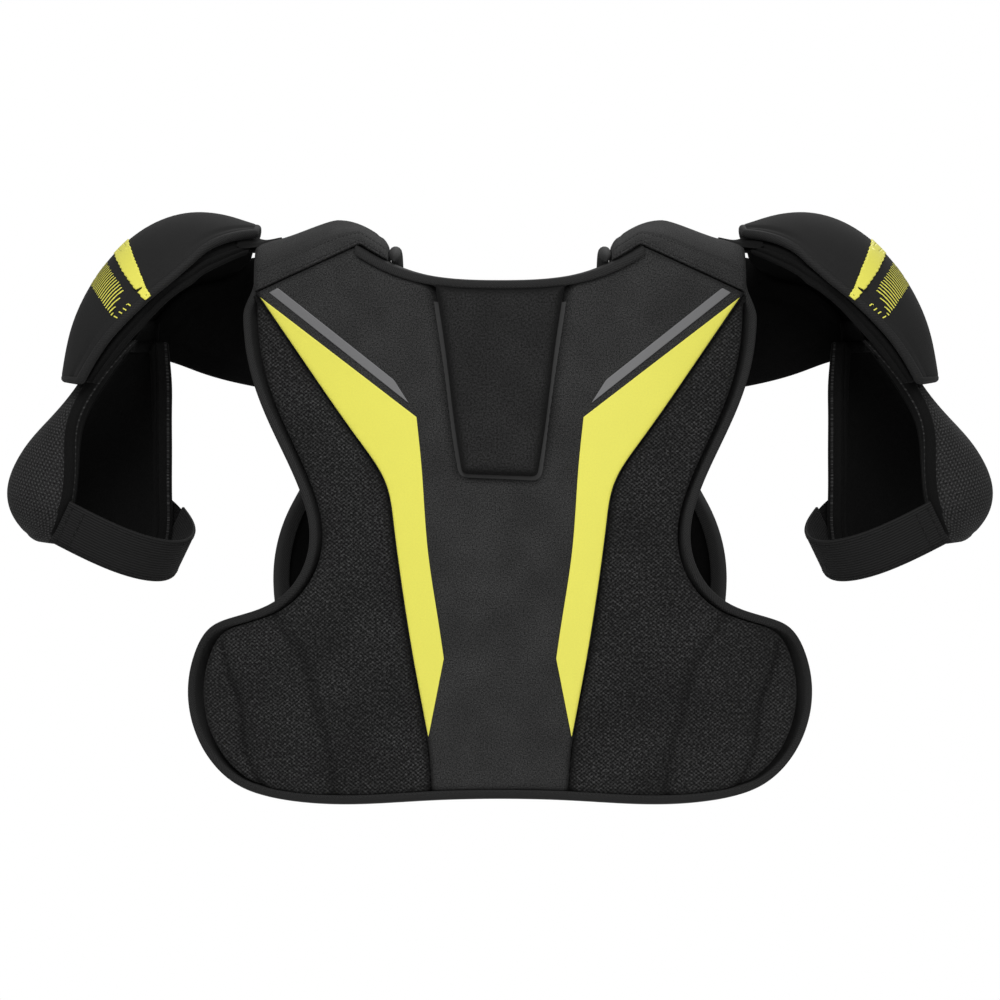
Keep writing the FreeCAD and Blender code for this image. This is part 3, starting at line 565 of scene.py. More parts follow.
def make_materials():
    # tight knit: fine flecks over slow unevenness
    for name, dark, light, size, sharp, depth in (("smooth_shell_fabric", 0.004, 0.070, 1.0, 0.13, 0.25),
                                                  ("spine_fabric", 0.005, 0.040, 1.4, 0.14, 0.25),
                                                  ("cap_fabric", 0.013, 0.026, 0.9, 0.2, 0.12),
                                                  # under_fabric and liner_fabric: black cloth with near-black tones,
                                                  # partly painted shade, set as dark as the shaded insides they line
                                                  ("under_fabric", 0.002, 0.009, 1.2, 0.2, 0.2),
                                                  ("liner_fabric", 0.0010, 0.005, 1.4, 0.2, 0.4)):
        s = Shader(name, 0.9, 0.10, 0.02)
        grain = s.noise(size, 3.0, 0.85)
        fleck = s.span(grain, 0.5 - sharp, 0.5 + sharp)
        height = s.math("ADD", fleck, s.math("MULTIPLY", s.weave(1.5, 1.2), 0.2))
        amount = s.math("MULTIPLY", s.span(height, 0.0, 1.15), s.slow(38.0, 0.75, 1.1))
        # the tone is darkened by the painted shade in seams and channels
        s.colour(s.with_painted_shade(amount), grey(dark), grey(light))
        s.bump(height, depth, 0.6)
        s.roughness(grain, 0.82, 0.96)

    # coarse woven ballistic cloth: over-under rows with uneven yarn
    s = Shader("woven_shell_fabric", 0.85, 0.12, 0.02)
    yarn = s.span(s.noise(1.5, 3.0, 0.85), 0.38, 0.62)
    fleck = s.span(s.noise(2.3, 2.0, 0.7), 0.42, 0.62)
    height = s.math("ADD", s.math("MULTIPLY", s.weave(3.6, 2.9), 0.4), s.math("MULTIPLY", yarn, 0.6))
    fleck = s.math("ADD", s.math("MULTIPLY", fleck, 0.8), 0.25)
    amount = s.math("MULTIPLY", s.span(height, -0.05, 0.95), fleck)
    # the tone is darkened by the painted shade in seams and channels
    s.colour(s.with_painted_shade(s.math("MULTIPLY", amount, s.slow(45.0, 0.75, 1.2))), grey(0.003), grey(0.080))
    s.bump(height, 0.6, 0.8)

    # spacer mesh with rows of small hexagonal dimples
    s = Shader("spacer_mesh", 0.82, 0.12, 0.02)
    pitch = 2.7
    hexes = s.math("ADD", s.wave((1, 0), pitch), s.wave((-0.5, 0.866), pitch))
    hexes = s.math("ADD", hexes, s.wave((-0.5, -0.866), pitch))
    knots = s.span(hexes, 0.2, 2.6)
    yarn = s.span(s.noise(1.5, 2.0, 0.7), 0.36, 0.64)
    height = s.math("ADD", s.math("MULTIPLY", knots, 0.75), s.math("MULTIPLY", yarn, 0.5))
    s.colour(s.math("MULTIPLY", s.span(height, 0.05, 1.15), s.slow(40.0, 0.75, 1.2)), grey(0.006), grey(0.064))
    s.bump(height, 0.5, 0.8)

    # folded edge tape: fine twill with a slight shine
    s = Shader("edge_tape", 0.78, 0.16, 0.03)
    twill = s.wave((0.7, 0.7), 1.3)
    yarn = s.noise(0.9, 1.0)
    height = s.math("ADD", s.math("MULTIPLY", twill, 0.3), yarn)
    s.colour(s.span(height, 0.2, 1.0), grey(0.009), grey(0.030))
    s.bump(height, 0.2, 0.6)

    # ribbed elastic webbing
    s = Shader("elastic_webbing", 0.85, 0.12, 0.02)
    ribs = s.wave((0, 1), 2.1)
    cross = s.wave((1, 0), 0.9)
    yarn = s.noise(0.8, 1.0)
    height = s.math("ADD", s.math("MULTIPLY", ribs, 0.4), s.math("MULTIPLY", s.math("ADD", cross, yarn), 0.25))
    s.colour(s.span(height, -0.4, 0.8), grey(0.006), grey(0.024))
    s.bump(height, 0.35, 0.8)

    # hook-and-loop tape: a dense pile, its near-black tone partly painted shade for the straps' shaded tabs
    s = Shader("hook_and_loop", 0.95, 0.06, 0.02)
    pile = s.cells(0.9)
    s.colour(s.span(pile, 0.0, 0.8), grey(0.009), grey(0.003))
    s.bump(pile, -0.5, 0.9)

    # printed satin film; a hint of the weave shows through it
    for name, tone in (("yellow_film", (0.84, 0.80, 0.115)), ("grey_film", (0.165, 0.165, 0.168))):
        s = Shader(name, 0.5, 0.4)
        under = s.math("ADD", s.math("MULTIPLY", s.weave(1.5, 1.2), 0.2), s.noise(1.2, 1.0))
        dull = tuple(c * 0.93 for c in tone)
        s.colour(s.math("MULTIPLY", s.span(under, 0.2, 0.8), s.slow(30.0, 0.7, 1.0)), dull, tone)
        s.bump(under, 0.05, 0.4)
        s.roughness(under, 0.42, 0.58)

    # thread
    s = Shader("thread", 0.8, 0.15, 0.03)
    s.colour(s.noise(0.7), grey(0.012), grey(0.032))

    # closed-cell foam and moulded plastic, seen only where the solids are opened up
    s = Shader("foam", 0.9, 0.2, solid=True)
    cell = s.cells(1.2)
    s.colour(cell, grey(0.03), grey(0.07))
    s.bump(cell, 0.2, 0.5)
    s = Shader("hard_insert", 0.5, 0.45, solid=True)
    grain = s.noise(0.6, 3.0)
    s.colour(s.noise(25.0), grey(0.014), grey(0.024))
    s.bump(grain, 0.05, 0.5)
    s.roughness(grain, 0.42, 0.6)


make_materials()


# ---------------------------------------------------------------- the back panel
def neckline_z(x):
    return NECK_FLOOR + (NECK_CORNER - NECK_FLOOR) * (abs(x) / NECK_HALF) ** NECK_POWER


def seam_z(x):
    if x < NECK_HALF:
        return neckline_z(x)
    return mix(NECK_CORNER, SHOULDER_Z, (x - NECK_HALF) / (SHOULDER_HALF - NECK_HALF))


def back_outline():
    """The back panel's edge, clockwise from the neckline's left corner."""
    neck = smooth([(NECK_HALF * s, neckline_z(NECK_HALF * s)) for s in (-1, -0.75, -0.5, 0, 0.5, 0.75, 1)])
    seam = smooth([(NECK_HALF, NECK_CORNER), (SHOULDER_HALF, SHOULDER_Z)])
    side = []
    for t in (0.0, 0.2, 0.4, 0.6, 0.8, 1.0):
        share = 0.5 * (1 + math.cos(math.pi * t ** 1.3))
        side.append((mix(WAIST_HALF, SHOULDER_HALF, share), mix(SHOULDER_Z, WAIST_Z, t)))
    side.append((mix(WAIST_HALF, WING_ROOT[0], 0.15), mix(WAIST_Z, WING_ROOT[1], 0.48)))
    side.append((mix(WAIST_HALF, WING_ROOT[0], 0.44), mix(WAIST_Z, WING_ROOT[1], 0.78)))
    for degrees in (0, 30, 60, 90):
        a, b = math.sin(math.radians(degrees)), 1 - math.cos(math.radians(degrees))
        side.append((mix(WING_ROOT[0], WING_WIDE[0], a), mix(WING_ROOT[1], WING_WIDE[1], b)))
    for degrees in (30, 60, 90):
        a, b = math.sin(math.radians(degrees)), 1 - math.cos(math.radians(degrees))
        side.append((mix(WING_WIDE[0], WING_FOOT[0], b), mix(WING_WIDE[1], WING_FOOT[1], a)))
    side.append((WING_FOOT[0] * 0.7, WING_FOOT[1] - 2.0))
    side.append((WING_FOOT[0] * 0.35, mix(WING_FOOT[1], BOTTOM_Z, 0.45)))
    trip = smooth(side + [(0.0, BOTTOM_Z)] + [(-x, z) for x, z in reversed(side)])
    return even(join(neck, seam, trip, mirrored(seam))[:-1], 2.2)


def on_back(flat, r):
    """Flat (x, z) points wrapped on the back's cylinder of radius r."""
    return np.stack([flat[:, 0], BACK_AXIS_Y - np.sqrt(r ** 2 - flat[:, 0] ** 2), flat[:, 1]], axis=-1)


BACK_LOOP = back_outline()


def nearest(loop, point):
    return int(np.linalg.norm(loop - point, axis=1).argmin())


# places on the loop: the neckline's corners and the shoulder corners, right and left
NECK_RIGHT = nearest(BACK_LOOP, (NECK_HALF, NECK_CORNER))
SHOULDER_RIGHT = nearest(BACK_LOOP, (SHOULDER_HALF, SHOULDER_Z))
SHOULDER_LEFT = nearest(BACK_LOOP, (-SHOULDER_HALF, SHOULDER_Z))


def field_depths():
    """The edge tape's width round the loop; the shoulder seams have none."""
    depth = np.full(len(BACK_LOOP), BINDING_W - 0.4)
    depth[NECK_RIGHT:SHOULDER_RIGHT + 1] = 0.5
    depth[SHOULDER_LEFT:] = 0.5
    for _ in range(3):
        depth = (np.roll(depth, 1) + depth + np.roll(depth, -1)) / 3
    return depth


BACK_FIELD = inset(BACK_LOOP, field_depths(), 2.2)
CHANNEL_LINE = smooth(CHANNEL, 2.2)
QUILT = [smooth([(211, -296), (203, -325), (197, -340), (193.5, -370), (187.5, -389), (172, -414)]),
         smooth([(176, -262), (163, -286), (147, -309), (139, -339), (130, -369), (124, -420)])]
SPINE_LINE = smooth(SPINE_EDGE, 2.0)


def spine_loop():
    top = [(x, neckline_z(x) - BINDING_W + 0.4) for x in np.linspace(-SPINE_EDGE[0][0], SPINE_EDGE[0][0], 41)]
    loop = even(join(top, SPINE_LINE, mirrored(SPINE_LINE)), 1.6)
    loop = relax(loop, 6)
    return loop


SPINE = spine_loop()


def fold(flat):
    """Flat points, with the left half's moved to the right."""
    return np.stack([np.abs(flat[:, 0]), flat[:, 1]], axis=1)


def in_centre(flat):
    """Which flat points lie between the two channels, on the centre panel."""
    return np.abs(flat[:, 0]) < np.interp(-flat[:, 1], -CHANNEL_LINE[:, 1], CHANNEL_LINE[:, 0])


def back_height(flat):
    """How far the outer face stands from its plain cylinder at each flat point."""
    x, z = flat[:, 0], flat[:, 1]
    folded = fold(flat)
    edge = distance(flat, BACK_FIELD, True)
    to_channel = distance(folded, CHANNEL_LINE)
    centre = in_centre(flat)
    h = roll(edge, 8.0, 2.0)
    h += np.where(centre, roll(to_channel, 3.2, 2.8), roll(to_channel, 10.0, 4.4))
    for line, width, depth in ((QUILT[0], 3.6, 3.0), (QUILT[1], 5.0, 2.2)):
        h += np.where(centre, 0, dent(distance(folded, line), width, depth))
    h += np.where(centre, 0, 0.9 * waves(x, z, 95.0, 2.0) + 1.0 * (1 - np.exp(-to_channel / 22)))
    near_pad = distance(flat, SPINE, True) * np.where(inside(flat, SPINE), 0, 1)
    h += np.where(centre, dent(near_pad, 6.0, 4.6) + 0.5 * waves(x, z, 120.0, 5.0), 0)
    return h


def back_painted_shade(flat):
    """Painted shade on the back's face, from 0 to 1: darkening along its edge, channels, the spine pad's outline and
    the quilt lines, where shade would fall.
    """
    folded = fold(flat)
    to_channel = distance(folded, CHANNEL_LINE)
    centre = in_centre(flat)
    near_pad = distance(flat, SPINE, True)
    to_quilt = [distance(folded, line) for line in QUILT]
    # painted shade: darker along the panel's edge, the channels, the pad's outline and the quilt lines
    rise = dent(distance(flat, BACK_FIELD, True), 2.5, 0.45)
    rise += np.where(centre, dent(to_channel, 2.5, 0.6) + dent(near_pad, 5.0, 0.8),
                     dent(to_channel, 4.0, 0.8) + dent(to_quilt[0], 2.2, 0.6) + dent(to_quilt[1], 3.5, 0.4))
    return np.clip(-rise, 0, 0.9)


def build_back():
    line = CHANNEL_LINE[max(0, int(np.argmax(inside(CHANNEL_LINE, BACK_FIELD))) - 1):]
    flat, faces = triangulate(BACK_FIELD, [line, line * (-1, 1)])
    h = back_height(flat)
    outer = on_back(flat, BACK_R + h)
    middle = flat[faces].mean(axis=1)
    centre = in_centre(middle)
    lower = on_back(flat, BACK_R - 5.5)
    for name, mask, node, slot in (("back_centre_padding", centre, "back_centre_panel", "smooth_shell_fabric"),
                                   ("back_wing_padding_right", ~centre & (middle[:, 0] > 0), "back_wing_right",
                                    "woven_shell_fabric"),
                                   ("back_wing_padding_left", ~centre & (middle[:, 0] < 0), "back_wing_left",
                                    "woven_shell_fabric")):
        # the face carries the painted shade of its seams and channels
        piece = closed_layer(name, flat, faces[mask], outer, lower, back_painted_shade(flat))
        dress(piece, "back", slot, [node])

    # foam behind the panels, and the quilted liner against the wearer
    foam = closed_layer("back_foam_core", flat, faces, on_back(flat, BACK_R - 6.0),
                        on_back(flat, BACK_R - 15.6))
    dress(foam, "back", "foam", ["back_foam"])
    quilt = roll(distance(flat, BACK_FIELD, True), 6.0, 1.8)
    for offset in (38.0, 112.0):
        quilt += dent(np.abs(np.abs(flat[:, 0]) - offset + 0.1 * (flat[:, 1] + 200)), 3.0, 1.6)
    for height in (-95.0, -175.0, -255.0, -335.0):
        quilt += dent(flat[:, 1] - height + 0.06 * np.abs(flat[:, 0]), 3.0, 1.6)
    quilt = np.maximum(quilt, -2.4)
    liner = closed_layer("back_liner_padding", flat, faces, on_back(flat, BACK_R - 15.9),
                         on_back(flat, BACK_R - 19.6 - quilt))
    dress(liner, "back", "liner_fabric", ["back_liner"])


def build_spine_pad():
    flat, faces = triangulate(SPINE, step=2.8, rings=(0.4, 1.0, 2.0, 3.4, 5.2))
    d = distance(flat, SPINE, True)
    h = 5.8 + roll(d, 8.0, 8.0) + dent(d - 8.5, 1.1, 0.4) + 0.3 * waves(flat[:, 0], flat[:, 1], 80.0, 1.0)
    # painted shade: the pad's face darkens towards its outline, where shade would fall
    pad = closed_layer("spine_padding", flat, faces, on_back(flat, BACK_R + h),
                       on_back(flat, BACK_R - 4.5), -dent(d, 4.5, 0.85))
    dress(pad, "back", "smooth_shell_fabric", ["spine_pad"], "spine_fabric")
    line = even(inset(SPINE, 1.0, 2.0), 2.0)
    row = on_back(line, BACK_R - 0.9)
    up = unit((row - (0, BACK_AXIS_Y, 0)) * (1, 1, 0))
    dress(stitches("spine_pad_stitches", row, up), "back", "edge_tape", material="thread")


def build_stripes():
    edge = [(x - 1.0, z) for x, z in CHANNEL[1:-1]]
    inner = smooth([STRIPE_ELBOW, (58.5, -165.0), (54.0, -225.0), (46.0, -279.0), STRIPE_NARROW], 2.2)
    stripe = join([STRIPE_TIP, STRIPE_ELBOW], inner, [STRIPE_NARROW, (STRIPE_FOOT[0] - 1.0, STRIPE_FOOT[1])],
                  smooth(edge[::-1], 2.2), [edge[0], STRIPE_TIP])[:-1]
    for name, loop, node, slot in (("stripe_film_yellow_right", stripe, "stripe_yellow", "yellow_film"),
                                   ("stripe_film_grey_right", BAR, "stripe_grey", "grey_film")):
        flat, faces = film_region(even(loop, 1.8))
        h = back_height(flat)
        top = on_back(flat, BACK_R + h + 0.75)
        low = on_back(flat, BACK_R + h - 0.4)
        mirror_pair(closed_layer(name, flat, faces, top, low), "back", slot, [node])


def build_back_tape():
    """Edge tape folded over both faces: along the neckline, and round the panel from yoke to yoke."""
    angles = np.radians(np.arange(62.0, 3.0, -2.4))
    end = yoke_arch(YOKE_OUT - 0.4, 6.0, angles)
    face = yoke_arch(YOKE_OUT - 0.4, 0.0, angles)
    end_out = unit(face - end)
    centre = on_back(BACK_LOOP, BACK_R - 9.5)
    across, out = tape_axes(BACK_LOOP, centre, BACK_AXIS_Y)
    trip = slice(SHOULDER_RIGHT + 3, SHOULDER_LEFT - 2)
    middle, inward, outward, size = (
        np.concatenate([first, main[trip], (first * flip)[::-1]]) for first, main, flip in (
            (end, centre, (-1, 1, 1)), (np.array((-1.0, 0.0, 0.0)) * np.ones_like(end), across, (-1, 1, 1)),
            (end_out, out, (-1, 1, 1)), (np.full(len(end), 0.68), np.ones(len(centre)), 1)))
    for _ in range(7):
        for rows in (inward, outward, size):
            rows[1:-1] = thirds(rows)
    shoulder = np.concatenate([at + np.arange(-4, 4) for at in (len(end), len(middle) - len(end))])
    for _ in range(6):
        middle[shoulder] = thirds(middle)[shoulder - 1]
    inward, outward = unit(inward), unit(outward) * size[:, None]
    neck = slice(0, NECK_RIGHT + 1)
    for label, mid, cross, away in (("", middle, inward, outward),
                                    ("_neck", centre[neck], across[neck], out[neck])):
        tape = ribbon("back_edge_binding" + label, mid, cross, away, tape_profile(BINDING_W, 10.5), False)
        dress(tape, "back", "edge_tape", ["back_binding"])
        for side, face_name in ((1, "outer"), (-1, "inner")):
            row = mid + cross * (BINDING_W - 1.5) + away * side * 10.75
            thread = stitches("back_binding%s_stitches_%s" % (label, face_name), row, away * side)
            dress(thread, "back", "edge_tape", material="thread")


def build_loop_patches():
    """The patches inside the wings that the torso straps close on."""
    lo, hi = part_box("wing_loop_patch_right")
    lo, hi = np.array(lo) / MM, np.array(hi) / MM
    loop = even([(lo[0], hi[2]), (hi[0], hi[2]), (hi[0], lo[2]), (lo[0], lo[2])], 2.0)
    loop = relax(loop, 3)
    flat, faces = triangulate(loop, step=2.5, rings=(0.5, 1.2, 2.2))
    h = roll(distance(flat, loop, True), 1.6, 1.0)
    patch = closed_layer("loop_patch_right", flat, faces, on_back(flat, 311.7 + 0 * h),
                         on_back(flat, 310.2 - h))
    mirror_pair(patch, "back", "hook_and_loop", ["wing_loop_patch"])


def clockwise(loop):
    x, z = loop[:, 0], loop[:, 1]
    area = (x * np.roll(z, -1) - np.roll(x, -1) * z).sum()
    return loop if area < 0 else loop[::-1]


def film_region(loop):
    return triangulate(clockwise(loop), step=3.0, rings=(0.5, 1.3, 2.4))


def tape_axes(loop, centre, axis_y):
    """The directions into a panel from its edge, and away from the panel's cylinder."""
    n = normals_2d(loop, 5)
    return np.stack([n[:, 0], np.zeros(len(n)), n[:, 1]], axis=1), unit((centre - (0, axis_y, 0)) * (1, 1, 0))


def tape_profile(width, half):
    """Section of a folded tape: (inward from the edge, out from the middle)."""
    side = [(width, half - 0.5), (width - 0.4, half + 0.1), (width - 1.6, half + 0.3), (width * 0.5, half + 0.5),
            (width * 0.24, half), (0.7, half - 1.4), (0.1, half * 0.55)]
    return side + [(a, -b) for a, b in reversed(side)]


# ---------------------------------------------------------------- the front panel
CHEST_NECK_HALF, CHEST_NECK_Z, CHEST_TOP_Z, CHEST_SHOULDER = 62.0, -78.0, -38.0, 166.0
CHEST_WAIST, CHEST_LOBE, CHEST_FOOT = (146.0, -158.0), (173.5, -242.0), (105.0, -392.0)
BELLY_Z = -262.0
STERNUM_HALF, STERNUM_TOP, STERNUM_FOOT = 34.0, -92.0, -240.0
CHEST_RIBS = [[(22, -262), (60, -215), (110, -190), (170, -185)], [(48, -52), (66, -110), (62, -170), (60, -215)]]


def on_front(flat, r):
    """Flat (x, z) points wrapped on the front's cylinder of radius r."""
    return np.stack([flat[:, 0], FRONT_AXIS_Y + np.sqrt(r ** 2 - flat[:, 0] ** 2), flat[:, 1]], axis=-1)


def front_outline():
    half, dip = CHEST_NECK_HALF, CHEST_NECK_Z + 9
    neck = smooth([(-half, CHEST_TOP_Z - 8), (-half * 0.6, dip), (0, CHEST_NECK_Z), (half * 0.6, dip),
                   (half, CHEST_TOP_Z - 8)])
    top = smooth([(half, CHEST_TOP_Z - 8), (half + 24, CHEST_TOP_Z)])
    shoulder = smooth([(half + 24, CHEST_TOP_Z), (CHEST_SHOULDER, CHEST_TOP_Z)])
    side = [(CHEST_SHOULDER, CHEST_TOP_Z), (CHEST_SHOULDER - 2, CHEST_TOP_Z - 42),
            (CHEST_WAIST[0] + 4, mix(CHEST_TOP_Z, CHEST_WAIST[1], 0.75)), CHEST_WAIST,
            (mix(CHEST_WAIST[0], CHEST_LOBE[0], 0.55), mix(CHEST_WAIST[1], CHEST_LOBE[1], 0.42)), CHEST_LOBE,
            (CHEST_LOBE[0] - 4, CHEST_LOBE[1] - 45),
            (mix(CHEST_LOBE[0], CHEST_FOOT[0], 0.35), mix(CHEST_LOBE[1], CHEST_FOOT[1], 0.68)),
            (CHEST_FOOT[0], CHEST_FOOT[1] + 6)]
    foot = [side[-1], (CHEST_FOOT[0] * 0.5, CHEST_FOOT[1] + 1), (0, CHEST_FOOT[1])]
    foot = smooth(foot + [(-x, z) for x, z in reversed(foot[:-1])])
    side = smooth(side)
    return even(join(neck, top, shoulder, side, foot, mirrored(side), mirrored(shoulder), mirrored(top))[:-1], 2.4)


def build_front():
    loop = front_outline()
    loop = relax(loop, 2)
    field = inset(loop, BINDING_W - 0.4, 2.4)
    sternum = smooth([(STERNUM_HALF * 0.8, STERNUM_TOP), (STERNUM_HALF, STERNUM_TOP - 40),
                      (STERNUM_HALF * 0.9, STERNUM_TOP - 100), (STERNUM_HALF * 0.55, STERNUM_FOOT)])
    pad_loop = even(join([(-STERNUM_HALF * 0.8, STERNUM_TOP), (STERNUM_HALF * 0.8, STERNUM_TOP)], sternum,
                         mirrored(sternum)), 1.8)
    pad_loop = relax(pad_loop, 6)

    belly = np.array([(x, BELLY_Z) for x in np.linspace(-200, 200, 161)])
    middle_seam = np.array([(0.0, z) for z in np.linspace(BELLY_Z, 0, 110)])
    ribs = [smooth(rib) for rib in CHEST_RIBS]
    flat, faces = triangulate(field, [belly, middle_seam], step=3.6)
    x, z = flat[:, 0], flat[:, 1]
    lower = z < BELLY_Z
    h = roll(distance(flat, field, True), 10.0, 4.0) + roll(np.abs(z - BELLY_Z), 9.0, 4.5)
    h += np.where(lower, 0, roll(np.abs(x), 8.0, 4.0))
    for rib in ribs:
        h += np.where(lower, 0, dent(distance(fold(flat), rib), 4.0, 2.6))
    for column in (52.0, 104.0):
        h += np.where(lower, dent(np.abs(np.abs(x) - column + 0.12 * (z - BELLY_Z)), 3.6, 2.2), 0)
    h += 0.7 * waves(x, z, 90.0, 4.0)
    outside = distance(flat, pad_loop, True) * np.where(inside(flat, pad_loop), 0, 1)
    h += dent(outside, 4.5, 2.2)
    outer = on_front(flat, FRONT_R + np.maximum(h, -7.6))
    low = on_front(flat, FRONT_R - 9.4)
    middle = flat[faces].mean(axis=1)
    below = middle[:, 1] < BELLY_Z
    right, smooth_slot = middle[:, 0] > 0, "smooth_shell_fabric"
    for name, mask, node, slot in (("chest_padding_right", ~below & right, "chest_pad_right", smooth_slot),
                                   ("chest_padding_left", ~below & ~right, "chest_pad_left", smooth_slot),
                                   ("belly_padding", below, "belly_pad", "woven_shell_fabric")):
        piece = closed_layer(name, flat, faces[mask], outer, low)
        dress(piece, "front", slot, [node])
    quilt = roll(distance(flat, field, True), 6.0, 1.8)
    for offset in (34.0, 96.0):
        quilt += dent(np.abs(np.abs(x) - offset), 3.0, 1.5)
    for height in (-120.0, -190.0, -262.0, -330.0):
        quilt += dent(z - height, 3.0, 1.5)
    liner = closed_layer("chest_liner_padding", flat, faces, on_front(flat, FRONT_R - 13.1),
                         on_front(flat, CHEST_INNER_R - np.maximum(quilt, -2.3)))
    dress(liner, "front", "liner_fabric", ["chest_liner"])

    flat, faces = triangulate(pad_loop, step=3.0, rings=(0.4, 1.0, 2.0, 3.4, 5.2))
    d = distance(flat, pad_loop, True)
    h = 5.6 + roll(d, 6.0, 6.0) + dent(d - 8.0, 1.1, 0.7)
    pad = closed_layer("sternum_padding", flat, faces, on_front(flat, FRONT_R + h),
                       on_front(flat, FRONT_R - 4.0 + 0 * h))
    dress(pad, "front", "smooth_shell_fabric", ["sternum_pad"])

    centre = on_front(loop, FRONT_R - 8.0)
    across, out = tape_axes(loop, centre, FRONT_AXIS_Y)
    tape = ribbon("chest_edge_binding", centre, across, out, tape_profile(BINDING_W, 8.8))
    dress(tape, "front", "edge_tape", ["chest_binding"])
    row = centre + across * (BINDING_W - 1.5) + out * 9.05
    thread = stitches("chest_binding_stitches", np.vstack([row, row[:1]]), np.vstack([out, out[:1]]))
    dress(thread, "front", "edge_tape", material="thread")


# ---------------------------------------------------------------- yokes and collar
def yoke_top_z(x):
    if x < YOKE_PEAK[0]:
        return mix(YOKE_PEAK[1], YOKE_INNER_Z, ((YOKE_PEAK[0] - x) / (YOKE_PEAK[0] - YOKE_IN)) ** 2)
    s = min(1.0, (x - YOKE_PEAK[0]) / (YOKE_OUT - YOKE_PEAK[0]))
    return mix(YOKE_PEAK[1], YOKE_OUTER_Z, math.sin(s * math.pi / 2) ** 1.4)


def yoke_arch(x, depth, angles, lift=0.0):
    top, back_z = yoke_top_z(x) - depth, seam_z(x) + 0.3 + lift
    back_y = BACK_AXIS_Y - math.sqrt((BACK_R - depth * 1.4) ** 2 - x ** 2)
    front_y = FRONT_AXIS_Y + math.sqrt((CHEST_INNER_R - 8.0) ** 2 - x ** 2) - depth
    c, s = np.cos(angles), np.sin(angles)
    rear = angles < math.pi / 2
    y = YOKE_PEAK_Y - np.where(rear, YOKE_PEAK_Y - back_y, front_y - YOKE_PEAK_Y) * c
    foot_z = np.where(rear, back_z, YOKE_FRONT_Z)
    z = foot_z + (top - foot_z) * s
    return np.stack([np.full_like(y, x), y, z], axis=1)


def graded(count, power=1.0):
    """Shares from 0 to 1 with closer rows at both ends."""
    t = np.linspace(0, 1, count)
    return mix(t, 0.5 - 0.5 * np.cos(math.pi * t), power)


def build_yokes():
    angles = math.pi * graded(91, 0.6)
    xs = mix(YOKE_IN, YOKE_OUT, graded(46, 0.8))
    outer = np.array([yoke_arch(x, 0.0, angles) for x in xs])
    inner = np.array([yoke_arch(x, min(YOKE_T, 0.62 * (yoke_top_z(x) - seam_z(x))), angles) for x in xs])

    def relief(u, v, total_u, total_v):
        return (dent(v - 15.0, 1.6, 1.3) + dent(total_v - v - 18.0, 1.6, 1.3) + dent(u - 9.0, 1.4, 0.8)
                + 0.5 * np.exp(-((v - 8.0) / 6.0) ** 2) + 0.5 * waves(u, v, 60.0, 3.0))
    yoke, face, (_, lv) = pillow("yoke_padding_right", outer, inner, (7.0, 5.0), (1.2, 2.5), relief, 0.0)
    mirror_pair(yoke, "back", "smooth_shell_fabric", ["yoke"])
    normal = surface_normals(outer)
    if normal[len(xs) // 2, len(angles) // 2, 2] < 0:
        normal = -normal
    for label, depth_of in (("seam", 2.6), ("band", 13.2)):
        i = np.arange(3, len(xs) - 3)
        j = np.abs(lv[i] - depth_of).argmin(axis=1)
        row = face[i, j] + normal[i, j] * 0.1
        mirror_pair(stitches("yoke_%s_stitches_right" % label, row, normal[i, j]), "back", "edge_tape", [])
    # collar roll along the neck side
    angles = math.pi * np.linspace(0.075, 1.0, 60)
    line = yoke_arch(YOKE_IN - 4.8, 2.25, angles, 2.3)
    sink = np.exp(-np.linspace(0, 9, len(line))) * 3.0
    line[:, 2] -= sink
    t = frames(line)
    side = np.array([[1.0, 0.0, 0.0]]) * np.ones_like(line)
    up = unit(np.cross(side, t))
    a = np.arange(14) * 2 * math.pi / 14
    ring = np.stack([4.6 * np.cos(a), 4.5 * np.sin(a)], axis=1)
    rows = []
    for i in range(len(line)):
        end = min(i / 14.0, (len(line) - 1 - i) / 4.0)
        size = math.sqrt(max(0.02, 1 - max(0.0, 1 - end) ** 2))
        rows.append(line[i] + side[i] * ring[:, :1] * size + up[i] * ring[:, 1:] * size)
    rows = np.array(rows)
    nu, nv = rows.shape[:2]
    faces = tube_faces(nu, nv)
    cloth = np.stack(np.meshgrid(np.arange(nu) * 3.2, np.arange(nv) * 2.0, indexing="ij"), axis=-1).reshape(-1, 2)
    collar = facing_out(make("collar_piping_right", rows.reshape(-1, 3), faces, cloth))
    mirror_pair(collar, "back", "edge_tape", ["collar_roll"])


# ---------------------------------------------------------------- shoulder caps
CAP_CURVE = smooth(CAP_LINE, 1.2)
CAP_TANGENT = frames(CAP_CURVE)
CAP_NORMAL = np.stack([-CAP_TANGENT[:, 1], CAP_TANGENT[:, 0]], axis=1)


CAP_EDGES = smooth([(share, math.asin(half / CAP_ARCH), math.radians(degrees))
                    for share, half, degrees in CAP_ROWS], 0.01)



def cap_rows(count, layer=0):
    """Stations along the cap: point and normal (x, z), and the edge's angle, of the cover or the under-layer."""
    share = graded(count, 0.7)
    u = share * (len(CAP_CURVE) - 1)
    grid = np.arange(len(CAP_CURVE))
    edge = np.interp(share, CAP_EDGES[:, 0], CAP_EDGES[:, 1 + layer])
    return pick(u, grid, CAP_CURVE), unit(pick(u, grid, CAP_NORMAL)), edge


